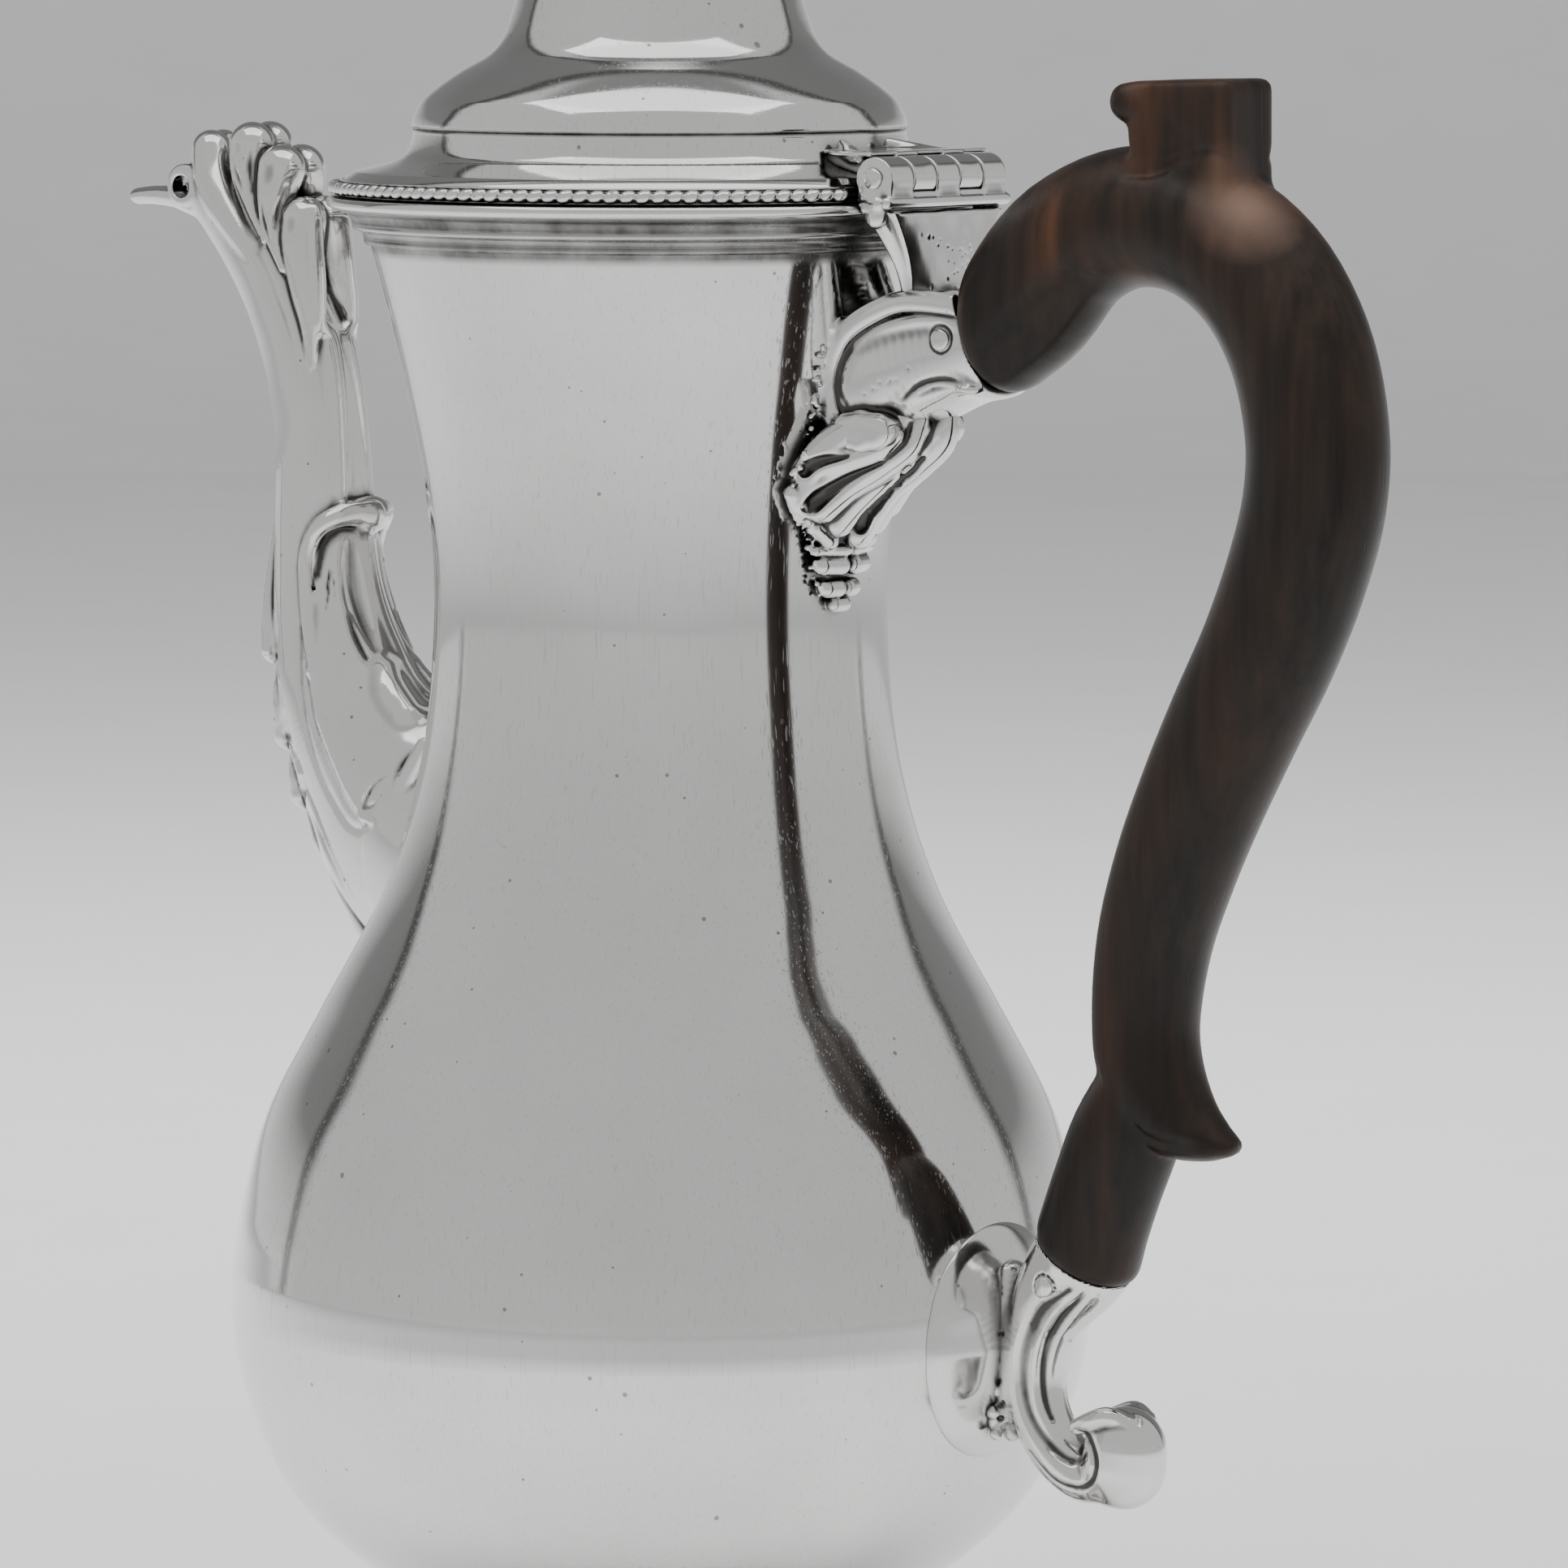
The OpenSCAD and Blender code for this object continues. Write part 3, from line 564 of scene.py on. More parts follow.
    def net(self):
        """The surface as points and four-cornered faces, by surface nets, smoothed and drawn back to it."""
        for axis in range(3):
            edge = [slice(None)] * 3
            for end in (0, -1):
                edge[axis] = end
                self.field[tuple(edge)] = FAR
        inside = self.field < 0
        nx, ny, nz = self.count - 1
        total = sum(inside[i:i + nx, j:j + ny, k:k + nz].astype(np.int8) for i, j, k in CORNERS)
        active = (total > 0) & (total < 8)
        cells = np.argwhere(active)
        number = np.full(active.shape, -1, np.int64)
        number[active] = np.arange(len(cells))
        place, crossings = np.zeros((len(cells), 3)), np.zeros(len(cells))
        for a in CORNERS:
            for axis in range(3):
                if a[axis]:
                    continue
                b = a + np.eye(3, dtype=int)[axis]
                fa, fb = self.field[tuple((cells + a).T)], self.field[tuple((cells + b).T)]
                cross = (fa < 0) != (fb < 0)
                t = np.where(cross, fa / np.where(cross, fa - fb, 1), 0)
                place += cross[:, None] * (a + t[:, None] * (b - a))
                crossings += cross
        spots = cells + place / crossings[:, None]
        faces = []
        for axis in range(3):
            one, two = np.eye(3, dtype=int)[(axis + 1) % 3], np.eye(3, dtype=int)[(axis + 2) % 3]
            ahead, behind = [slice(None)] * 3, [slice(None)] * 3
            ahead[axis], behind[axis] = slice(1, None), slice(None, -1)
            edges = np.argwhere(inside[tuple(ahead)] != inside[tuple(behind)])
            quad = np.stack([number[tuple((edges - s).T)] for s in (0 * one, one, one + two, two)], 1)
            outward = inside[tuple(edges.T)]
            faces.append(np.where(outward[:, None], quad, quad[:, ::-1]))
        faces = np.concatenate(faces)
        spots = self.relaxed(spots, faces)
        return self.low + spots * self.cell, faces

    def relaxed(self, spots, faces):
        for _ in range(2):
            total, near = np.zeros_like(spots), np.zeros(len(spots))
            for a, b in ((0, 1), (1, 2), (2, 3), (3, 0)):
                for here, there in ((faces[:, a], faces[:, b]), (faces[:, b], faces[:, a])):
                    near += np.bincount(here, minlength=len(spots))
                    for axis in range(3):
                        total[:, axis] += np.bincount(here, spots[there, axis], len(spots))
            spots = spots * 0.4 + 0.6 * total / near[:, None]
            slope = self.slope(spots)
            step = self.sample(spots)[:, None] * slope / np.maximum((slope ** 2).sum(1), 0.02)[:, None]
            spots = spots - np.clip(step, -0.5, 0.5)
        return spots

    def hollowness(self, points, spread=0.5):
        """How hollow the surface is at each point: 0 where it is flat or proud, 1 in a fine groove."""
        soft = np.clip(self.field, -3, 3)
        reach = max(int(round(2.5 * spread / self.cell)), 1)
        weights = np.exp(-0.5 * (np.arange(-reach, reach + 1) * self.cell / spread) ** 2)
        for axis in range(3):
            total = np.zeros_like(soft)
            for step, weight in zip(range(-reach, reach + 1), weights / weights.sum()):
                total += weight * np.roll(soft, step, axis)
            soft = total
        hard, self.field = self.field, soft
        average = self.sample((points - self.low) / self.cell)
        self.field = hard
        return np.clip((0.02 - average) / (0.42 * spread), 0, 1)

    def piece(self, name, body, slot, *nodes):
        points, faces = self.net()
        piece = quick_mesh(name, points, faces)
        mark_hollows(piece, self.hollowness(points))
        return place_piece(piece, body, slot, *nodes)


# ---- the outlines of the body and the lid, which the castings sit on ----
def outer_side(outline):
    """The outer radius, in millimetres, at rising heights of a turned outline."""
    heights = np.arange(min(z for _, z in outline), max(z for _, z in outline), 0.0005)
    radii = []
    for height in heights:
        hits = []
        for (r0, z0), (r1, z1) in zip(outline, outline[1:]):
            if z0 != z1 and min(z0, z1) <= height <= max(z0, z1):
                hits.append(r0 + (r1 - r0) * (height - z0) / (z1 - z0))
        radii.append(max(hits) if hits else np.nan)
    known = ~np.isnan(np.array(radii))
    return heights[known] / MM, np.array(radii)[known] / MM


BODY_Z, BODY_R = outer_side(cut_outline("body_shell"))
LID_SIDE = outer_side(cut_outline("lid_collar"))


def body_gap(X, Y, Z):
    """How far a place is outside the body's surface, in millimetres."""
    radius = np.interp(Z, BODY_Z, BODY_R).astype(np.float32)
    lean = np.cos(np.arctan(np.gradient(BODY_R, BODY_Z)))
    return (np.sqrt(X * X + Y * Y) - radius) * np.interp(Z, BODY_Z, lean).astype(np.float32)


def seat_on_body(clay, fillet=1.6, reach=1.6, sink=0.35):
    """Runs a soldered fillet from the clay to the body, and ends the clay just inside the body's wall."""
    X, Y, Z = clay.everywhere()
    gap = body_gap(X, Y, Z)
    joined = smooth_min(clay.field, gap + 0.12, fillet)
    joined = np.maximum(joined, clay.field - reach)
    clay.field = np.maximum(np.minimum(joined, clay.field), -(gap + sink)).astype(np.float32)


def at_side(points, y=0.0):
    """Rows of (x, z, radius[, stretch]) as rows of (x, y, z, radius[, stretch])."""
    return [(p[0], y, *p[1:]) for p in points]


def disc_across(cx, cz, radius, y0, y1, edge=0.25):
    """A round disc or pin that lies along Y between y0 and y1."""
    middle, half = (y0 + y1) / 2, abs(y1 - y0) / 2

    def distance(X, Y, Z):
        a = np.sqrt((X - cx) ** 2 + (Z - cz) ** 2) - radius + edge
        b = np.abs(Y - middle) - half + edge
        outside = np.sqrt(np.maximum(a, 0) ** 2 + np.maximum(b, 0) ** 2)
        return outside + np.minimum(np.maximum(a, b), 0) - edge
    return distance


def block(low, high, edge=0.3):
    """A box between two corners with rounded edges."""
    middle, half = (np.array(low) + high) / 2, (np.array(high, float) - low) / 2 - edge

    def distance(X, Y, Z):
        a, b, c = (np.abs(V - m) - h for V, m, h in zip((X, Y, Z), middle, half))
        outside = np.sqrt(np.maximum(a, 0) ** 2 + np.maximum(b, 0) ** 2 + np.maximum(c, 0) ** 2)
        return outside + np.minimum(np.maximum(np.maximum(a, b), c), 0) - edge
    return distance


def pits(clay, places, count, size, seed):
    """Small round pits scattered along a line of places on the surface."""
    draws = np.random.default_rng(seed)
    path = smooth_path(places, 6)
    for _ in range(count):
        spot = path[draws.integers(len(path))] + draws.normal(size=3) * 0.45
        spot = clay.snapped(spot[None, :], -0.1)[0]
        clay.rod([(*spot, size * draws.uniform(0.5, 1.3))], 0.1, cut=True)


def lumps(clay, places, count, size, seed):
    """Small drops of solder scattered along a line of places on the surface."""
    draws = np.random.default_rng(seed)
    path = smooth_path(places, 6)
    for _ in range(count):
        spot = path[draws.integers(len(path))] + draws.normal(size=3) * 0.35
        clay.rod([(*spot, size * draws.uniform(0.6, 1.4))], 0.35)


# ---- wooden handle ----
GRIP = at_side([(59.2, 216.4, 10.1, 1), (64.2, 220, 10.1, 0.98), (71.5, 227.3, 9.75), (81.5, 231.2, 9.6),
                (92.5, 230, 9.6), (102.2, 224, 9.75), (108.6, 214.6, 9.75), (111.5, 203.5, 9.7),
                (111.2, 193.5, 9.7), (108.3, 183.5, 9.6), (104, 173.5, 9.3, 1.03), (98.6, 163.5, 9, 1.03),
                (93.3, 153.1, 8.7, 1.03), (88.8, 143, 8.4, 1.03), (85.4, 132.7, 7.9, 1.03),
                (84, 122, 7.3, 1.06), (85, 114.8, 7, 1.08), (89, 108.9, 5.4, 1.25), (93.8, 106.3, 3.2, 1.6),
                (97.4, 105.4, 1.5, 2.2)])
HEEL = at_side([(84.6, 113.5, 6.6), (80.8, 105.8, 7.6), (77.9, 99, 7.6), (75.7, 93.2, 7.6), (74.3, 89, 7.7)])
UPPER_MOUTH = np.array([58.2, 0, 213.2])
UPPER_AXIS = np.array([0.972, 0, 0.233])
LOWER_MOUTH = np.array([73.2, 0, 87.2])
LOWER_AXIS = np.array([0.522, 0, 0.853])


def domed_end(mouth, axis, reach, radius=34.0):
    """The wood beyond a socket's mouth, ending in a shallow dome that stands reach millimetres in the cup."""
    centre = mouth + axis * (radius - reach)

    def distance(X, Y, Z):
        dome = np.sqrt((X - centre[0]) ** 2 + (Y - centre[1]) ** 2 + (Z - centre[2]) ** 2) - radius
        past = (X - centre[0]) * axis[0] + (Z - centre[2]) * axis[2]
        away = np.sqrt((X - mouth[0]) ** 2 + (Z - mouth[2]) ** 2) - 24
        return np.minimum(np.minimum(dome, -past), -away)
    return distance


def shape_grip(clay):
    """Adds the upper member of the handle, ending at the spur beside its lower member."""
    clay.rod(GRIP, 0.1, steps=5)
    clay.keep(domed_end(UPPER_MOUTH, UPPER_AXIS, 0.9), 3.2)


def shape_heel(clay):
    lower = clay.blank()
    lower.rod(HEEL, 0.1, steps=5)
    lower.keep(domed_end(LOWER_MOUTH, LOWER_AXIS, 0.6, 24), 2.6)
    clay.join(lower, 0.6)


def carve_handle():
    clay = Clay((52, -12, 80), (123, 12, 252), 0.6)
    shape_grip(clay)
    spur = clay.blank()
    spur.shape(block((84, -6.4, 228), (100.6, 6.4, 250.4), 2), 0.1)
    spur.rod([(84.6, -5.2, 246.9, 2.9), (84.6, 5.2, 246.9, 2.9)], 1)
    spur.rod([(82.2, -9, 240, 2.4), (81.6, -9, 236, 4.2), (79, -9, 231, 6)], 1.4, cut=True, both=True)
    spur.rod([(82.2, 0, 240, 2.4, 4), (81.4, 0, 236, 3.4, 3)], 1.4, cut=True)
    spur.rod([(92, -8.6, 243.4, 2.2), (95, -8.4, 241, 2)], 1.6, cut=True, both=True)
    spur.keep(lambda X, Y, Z: Z - 250.1 - 0.045 * (X - 92), 1)
    clay.join(spur, 1.3)
    crease = [(85.6, -6.6, 236.4, 0.4), (89, -7.4, 237.6, 0.6), (92.4, -7.6, 239.2, 0.7),
              (95.6, -7.4, 240.2, 0.6), (99, -7, 240.4, 0.5), (102.2, -6.2, 239.2, 0.3)]
    clay.groove(crease, 0.9, -0.15)
    clay.groove([(63.5, -8.5, 208.8, 1.2), (67.5, -8.9, 213, 2.2), (72, -8.6, 217.2, 2),
                 (78, -8.4, 220.6, 1)], 3, -1.2)
    clay.groove([(97.8, -5.4, 106.6, 0.5), (92.5, -6.4, 104.6, 0.7), (87, -7.2, 105.6, 0.7),
                 (81.6, -7.4, 109.8, 0.6), (77.6, -6.6, 115.6, 0.4)], 1, -0.2)
    shape_heel(clay)
    clay.rough(0.10, 26, 3)
    clay.piece("handle_carved", POT, "dark_hardwood", "handle")


# ---- lower socket ----
LOWER_PIN = (71.6, 84.6)


def cast_lower_socket():
    clay = Clay((56, -8.5, 51), (90, 8.5, 94), 0.28)
    clay.rod(at_side([(76.2, 92, 7.4, 0.96), (73.2, 87.4, 7.2, 0.96), (70, 83.4, 6.3, 0.98),
                      (67.4, 79.2, 5.1, 1.04), (65.8, 73.4, 4.2, 1.15), (66.2, 67.2, 3.9, 1.18),
                      (69, 61.6, 3.8, 1.18), (73.6, 58, 3.6, 1.2), (78.6, 57.4, 3.2, 1.2)]), 0.3, steps=6)
    clay.rod([(80.6, 0, 59.9, 6.1, 0.86), (80.9, 0, 62.1, 6, 0.86)], 0.8)
    clay.rod([(74.6, -2.9, 65, 1.1), (77.4, -3.3, 66, 1.5), (80.2, -3.2, 66.9, 1.5), (83, -2.6, 66.4, 0.9)],
             0.7, both=True)
    groove = [(75.4, -6.2, 84, 0.9), (71.2, -5.8, 81.4, 1.35), (68.7, -5.2, 78.4, 1.5), (67, -4.8, 74.6, 1.5),
              (66.7, -4.6, 70.6, 1.4), (67.6, -4.6, 66.8, 1.3), (69.9, -4.5, 63.6, 1.2),
              (73.2, -4.4, 61.6, 1.1), (76.6, -4.4, 61.6, 0.8)]
    clay.groove(groove, 0.5, -0.55)
    inner = [(78, -5.6, 83, 0.6), (74.4, -5, 80.2, 1.1), (71.6, -4.2, 76.8, 1.2), (70.4, -3.8, 72.4, 1.1),
             (70.8, -3.7, 68.6, 1), (72.4, -3.7, 66, 0.7)]
    clay.groove(inner, 0.45, -0.45)
    curl = [(75.6, -4, 64.6, 0.5), (78.2, -4.4, 63, 0.7), (79.3, -4.8, 60.6, 0.7), (78.4, -4.6, 58.2, 0.6),
            (75.8, -4.2, 56.7, 0.5), (71.6, -4, 57.6, 0.4), (67.8, -4.2, 61, 0.3)]
    clay.groove(curl, 0.4, -0.15)
    for k in range(12):
        turn = 2 * math.pi * k / 12
        after = 2 * math.pi * (k + 1) / 12
        ring = [(LOWER_PIN[0] + 1.75 * math.cos(a), -6.6, LOWER_PIN[1] + 1.75 * math.sin(a), 0.22)
                for a in (turn, (turn + after) / 2, after)]
        clay.groove(ring, 0.15, 0, 2)
    clay.rod([(61.8, 0, 85, 1.6, 1.6), (61.9, 0, 80, 2.3, 1.7), (62.2, 0, 73, 2.6, 1.6),
              (62.2, 0, 66, 2.3, 1.6), (62, 0, 62.5, 1.2, 1.6)], 1.5)
    seam = [(61, -3.4, 83), (60.6, -3.6, 76), (60.8, -3.6, 69), (61.6, -3.2, 62.8)]
    lumps(clay, seam, 22, 0.9, 5)
    pits(clay, [(62, -4.4, 83), (61.8, -4.6, 76), (62, -4.6, 69), (62.8, -4.2, 63)], 26, 0.42, 9)
    wood = clay.blank()
    shape_heel(wood)
    clay.trim(wood.field - 0.03)
    X, Y, Z = clay.everywhere()
    clay.trim(body_gap(X, Y, Z) - 0.6)
    past = (X - LOWER_MOUTH[0]) * LOWER_AXIS[0] + (Z - LOWER_MOUTH[2]) * LOWER_AXIS[2] - 3.2
    clay.field = np.where(Z > 80, np.maximum(clay.field, past), clay.field).astype(np.float32)
    clay.rough(0.05, 9, 4)
    clay.piece("lower_socket_cast", POT, "silver_casting", "lower_handle_socket")


# ---- domed disc between the lower socket and the belly ----
def raise_backplate():
    radius, middle = ring_place("lower_socket_backplate")
    points = []
    rings, around_disc = 28, 128
    for side in (1, 0):
        for k in range(rings + 1):
            share = math.sin(math.pi / 2 * k / rings)
            dome = 0.75 * math.sqrt(max(1 - share ** 10, 0)) + 1.05 * (1 - share ** 2)
            height = dome * side - 0.3 * (1 - side)
            for s in range(around_disc):
                turn = 2 * math.pi * s / around_disc
                y, z = radius * share * math.cos(turn), middle + radius * share * math.sin(turn)
                surface = np.interp(z, BODY_Z, BODY_R)
                out = Vector((math.sqrt(surface ** 2 - y * y), y, 0)).normalized()
                spot = Vector((math.sqrt(surface ** 2 - y * y), y, z)) + out * height
                points.append(tuple(spot))
    n = around_disc
    faces = grid_faces(rings + 1, n, flip=True) + grid_faces(rings + 1, n, (rings + 1) * n)
    rim, under = rings * n, (2 * rings + 1) * n
    faces += [(rim + s, under + s, under + (s + 1) % n, rim + (s + 1) % n) for s in range(n)]
    piece = quick_mesh("lower_backplate_raised", np.array(points), np.array(faces))
    weld(piece, 1e-6)
    place_piece(piece, POT, "silver_fitting", "lower_socket_backplate")


# ---- upper socket ----
UPPER_PIN = (54.3, 214)
CHEEK_Y = 7.7
SCROLL_BAND = [(60, 217.9), (57.6, 218.7), (51.4, 219.2), (47.1, 218.9), (43.4, 217.6), (40, 215.8),
               (37.8, 214), (36.2, 211.5), (35.3, 209), (35.2, 206.2), (35.8, 203.6), (37.2, 201.4),
               (39.2, 200.2)]


def ring_groove(clay, pin, y, radius, depth=0.22):
    """A fine dark ring round a pin's head, on both cheeks."""
    turns = [2 * math.pi * k / 16 for k in range(17)]
    ring = [(pin[0] + radius * math.cos(a), -y, pin[1] + radius * math.sin(a), depth) for a in turns]
    clay.groove(ring, 0.12, 0, 2)


def cast_upper_socket():
    clay = Clay((31, -11.5, 194), (66, 11.5, 224), 0.27)
    clay.rod(at_side([(30, 207.4, 9.4, 0.9), (38, 208.2, 9.5, 0.9), (45, 210, 8.9, 0.92), (52, 211.8, 7.8, 1),
                      (57.5, 213.3, 7.3, 1.06), (62, 214.4, 7.6, 1.08)]), 0.4)
    clay.keep(lambda X, Y, Z: np.abs(Y) - CHEEK_Y, 1.6)
    top = [(58.5, 0, 216.2, 3.2, 2.3), (51.4, 0, 216.6, 3.2, 2.3), (45, 0, 215.4, 3.2, 2.3),
           (40, 0, 213.4, 3.2, 2.3)]
    clay.rod(top, 0.6)
    clay.keep(lambda X, Y, Z: np.abs(Y) - CHEEK_Y - 0.1, 0.4)
    band = [(x, -CHEEK_Y + 0.25, z, 1.5) for x, z in SCROLL_BAND]
    clay.rod(band, 0.16, both=True, steps=6)
    inside = [(57.4, 216.9), (54.1, 217.4), (50.8, 217.5), (47.1, 217.1), (43.8, 215.9), (41, 214.3),
              (39.1, 212.5), (37.9, 210.6), (37.3, 208.6), (37.3, 206.4), (38.2, 204.9)]
    clay.groove([(x + 0.25, -CHEEK_Y - 0.2, z - 0.3, 0.42) for x, z in inside], 0.25, -0.3, 6)
    clay.keep(lambda X, Y, Z: np.abs(Y) - CHEEK_Y - 0.85, 0.5)
    for x, z, radius in ((39.4, 200.9, 2.7), (41.6, 201, 3), (44.2, 201.1, 2.6)):
        clay.rod([(x, -8.3, z, radius), (x, 8.3, z, radius)], 0.7)
    clay.keep(lambda X, Y, Z: np.where(Z < 204.5, np.abs(Y) - 9.6, np.abs(Y) - 11), 0.9)
    clay.groove([(36.9, -9.6, 203.9, 0.3), (40, -9.6, 204.2, 0.45), (43.6, -9.4, 204.4, 0.4),
                 (46.4, -8.8, 203.4, 0.35)], 0.25, -0.15)
    clay.groove([(38.2, -9.9, 198.8, 0.3), (36.9, -9.9, 200.6, 0.35), (37.2, -9.8, 203, 0.3)], 0.2, -0.1)
    flare = [(47.2, 0, 204.6, 2.8, 2.2), (51.5, 0, 206.4, 2.6, 2.5), (55.4, 0, 207.4, 2.1, 3),
             (59, 0, 207.2, 1.5, 4.4)]
    clay.rod(flare, 1)
    lip = [(47.6, -7.4, 205.4, 0.3), (50.4, -7.2, 207.6, 0.45), (53.9, -7.2, 208.5, 0.5),
           (57.6, -7.2, 208.3, 0.45), (60.5, -7.2, 207.4, 0.3)]
    clay.groove(lip, 0.3, -0.15)
    clay.groove([(50.4, -6.6, 206.3, 0.25), (53.2, -6.6, 207.3, 0.4), (56.4, -6.6, 207.4, 0.25)], 0.25, -0.1)
    saddle = [(49.2, -4.4, 217.8, 1.2), (51, 0, 218.6, 1.7), (49.2, 4.4, 217.8, 1.2)]
    clay.rod(saddle, 1.2)
    clay.rod([(53, -6.4, 219.6, 0.3), (53.6, 0, 220.4, 0.3), (53, 6.4, 219.6, 0.3)], 0.5, cut=True, snap=-0.1)
    ring_groove(clay, UPPER_PIN, CHEEK_Y, 1.85)
    wood = clay.blank()
    wood.rod(GRIP[:4], 0.1, steps=5)
    wood.keep(domed_end(UPPER_MOUTH, UPPER_AXIS, 0.9), 3.2)
    clay.trim(wood.field - 0.03)
    X, Y, Z = clay.everywhere()
    past = (X - UPPER_MOUTH[0]) * UPPER_AXIS[0] + (Z - UPPER_MOUTH[2]) * UPPER_AXIS[2] - 0.5
    clay.trim(-past)
    clay.rough(0.04, 8, 11)
    seat_on_body(clay, 1.3, 1.3)
    lumps(clay, [(37, -9, 215.2), (35.6, -9.8, 211.6), (34.8, -9.6, 206.4), (34.6, -9.6, 202.2),
                 (34.4, -9.6, 198.6)], 40, 0.36, 21)
    pits(clay, [(36.6, -9.2, 214.4), (35.4, -9.9, 209), (34.7, -9.9, 204), (34.4, -9.8, 199.6)], 30, 0.3, 22)
    pits(clay, [(39, -9, 203.4), (41, -8, 206), (44, -8, 207), (52.6, -7.8, 211)], 14, 0.22, 23)
    clay.trim(body_gap(*clay.everywhere()) + 0.35)
    clay.piece("upper_socket_cast", POT, "silver_casting", "upper_handle_socket")


# ---- shell drop under the upper socket ----
DROP_LEAN = 1.9


def leaning(rows):
    """The drop hangs a little to the -Y side at its foot, as the hand-filed original does."""
    return [(x, y - DROP_LEAN * min(max((200 - z) / 10, 0), 1), z, *rest) for x, y, z, *rest in rows]


def mirrored(rows):
    return [(x, -y, z, *rest) for x, y, z, *rest in rows]


def cast_shell_drop():
    clay = Clay((29, -15.5, 172), (56, 13.5, 206), 0.27)
    core = [(45, 0, 203, 4.6, 1.3), (43.4, 0, 199.4, 4.4, 1.5), (39.6, 0, 196, 4, 1.8),
            (35.8, 0, 191.4, 3, 2.6), (33.4, 0, 186.2, 2, 2.9)]
    clay.rod(leaning(core), 0.6)
    lobes = (
        [(46.4, 6, 200.6, 0.8), (43.6, 7, 198.4, 1.2), (39.6, 8.2, 197, 1.6), (35.8, 9.4, 196, 2),
         (34.2, 10, 195, 1.9)],
        [(48.4, 3.4, 202.6, 1.1), (47, 4.1, 199, 1.5), (43.2, 4.9, 196, 1.7), (39, 6, 193.4, 2),
         (35.6, 7.4, 190.4, 2.3)],
        [(50.3, 0, 203.6, 1.6), (49.4, 0, 199.8, 2), (46, 0, 196.6, 2.2), (41.8, 0, 193.8, 2.3),
         (38.6, 0, 190.2, 2.4), (36.2, 0, 186.4, 2.2)],
    )
    for k, lobe in enumerate(lobes):
        for rows in ([lobe, mirrored(lobe)] if k < 2 else [lobe]):
            clay.rod(leaning(rows), 0.22, steps=7)
    webs = (
        [(40, 7, 201.4, 2.4), (37, 8.4, 199, 2.6), (34.8, 9.8, 196, 2.2), (33.8, 9, 191, 2.2)],
        [(46.2, 4.9, 200, 1.3), (43, 5.8, 197.2, 1.7), (39, 7, 195.2, 2), (35.8, 8.2, 192.8, 2)],
        [(48.6, 1.8, 201, 1.5), (46.2, 2.2, 198, 1.8), (42.4, 2.6, 195, 2.1), (38.8, 3.2, 191.6, 2.2),
         (36, 4, 188, 2)],
    )
    for web in webs:
        for rows in (web, mirrored(web)):
            clay.rod(leaning(rows), 0.6, steps=6)
    hollows = (
        [(40.4, 9.6, 197.8, 0.35), (37.4, 11, 197, 0.8), (35.2, 12.4, 195.8, 1.15)],
        [(44, 6.6, 196.6, 0.3), (40.4, 8, 194.6, 0.75), (36.8, 10, 191.6, 1.2), (35.6, 10.4, 190, 1.1)],
        [(46.6, -1.2, 198, 0.3), (42.8, -1.4, 195, 0.7), (40, -1.5, 191.6, 1.1), (38, -1.6, 187.6, 1.25)],
    )
    for k, hollow in enumerate(hollows):
        for rows in ([hollow, mirrored(hollow)] if k < 2 else [hollow]):
            clay.rod(leaning(rows), 0.5, cut=True, snap=0.15, steps=6)
    slits = (
        [(49.4, 2.2, 203.4, 0.3), (49.4, 2.4, 201, 0.55), (47.6, 2.6, 198.4, 0.35), (44.4, 2.8, 196.2, 0.25),
         (41, 3.2, 193.4, 0.25), (38, 4, 189.6, 0.3)],
        [(47.4, 4.8, 202.4, 0.25), (47, 5.2, 200, 0.45), (44.2, 5.8, 197.6, 0.3), (40, 7, 195.4, 0.25),
         (36.6, 8.6, 193.2, 0.3)],
    )
    knots = (
        (0.25, [(33, 10.6, 192.2, 1.5), (33.2, 9.4, 190.4, 1.5), (33.6, 7.8, 188.6, 1.2)]),
        (0.25, [(33.9, 6.6, 187.4, 1.3), (34.6, 4.4, 185.6, 1.4)]),
        (0.2, [(33.5, 4.3, 182, 1.45), (34.2, 1.5, 182, 1.5)]),
        (0.2, [(33.1, 2.7, 178.7, 1.35), (33.5, 1.2, 178.7, 1.35)]),
    )
    for turned in (list, mirrored):
        for slit in slits:
            clay.rod(leaning(turned(slit)), 0.2, cut=True, snap=-0.1, steps=6)
        for blend, knot in knots:
            clay.rod(leaning(turned(knot)), blend)
    clay.rod(leaning([(33.6, -6, 184.1, 0.75), (34.9, 0, 184.1, 0.9), (33.6, 6, 184.1, 0.75)]), 0.2)
    clay.rod(leaning([(33, -1, 176.4, 1.1), (33, 1, 176.4, 1.1)]), 0.2)
    clay.rod(leaning([(36.2, 0, 184, 0.28), (35.8, 0, 182, 0.32), (35.2, 0, 180.2, 0.3),
                      (34.9, 0, 177.4, 0.3)]), 0.15, cut=True, snap=0.0)
    clay.rough(0.04, 7, 31)
    seat_on_body(clay, 0.9, 1)
    edge = [(34.8, -12.4, 197.6), (33.4, -13, 194.4), (32.4, -13.4, 191.4), (32.8, -11.4, 188.6),
            (33, -9.2, 186), (32.8, -7.6, 183.6), (32.6, -7.4, 180.8), (32.6, -5.6, 178)]
    lumps(clay, edge, 44, 0.32, 33)
    pits(clay, edge, 34, 0.26, 34)
    clay.rod([(34.4, -13.6, 211.6, 0.4), (34.2, -13.9, 210.5, 0.8)], 0.3)
    clay.trim(body_gap(*clay.everywhere()) + 0.35)
    clay.piece("shell_drop_cast", POT, "silver_casting", "upper_shell_drop")


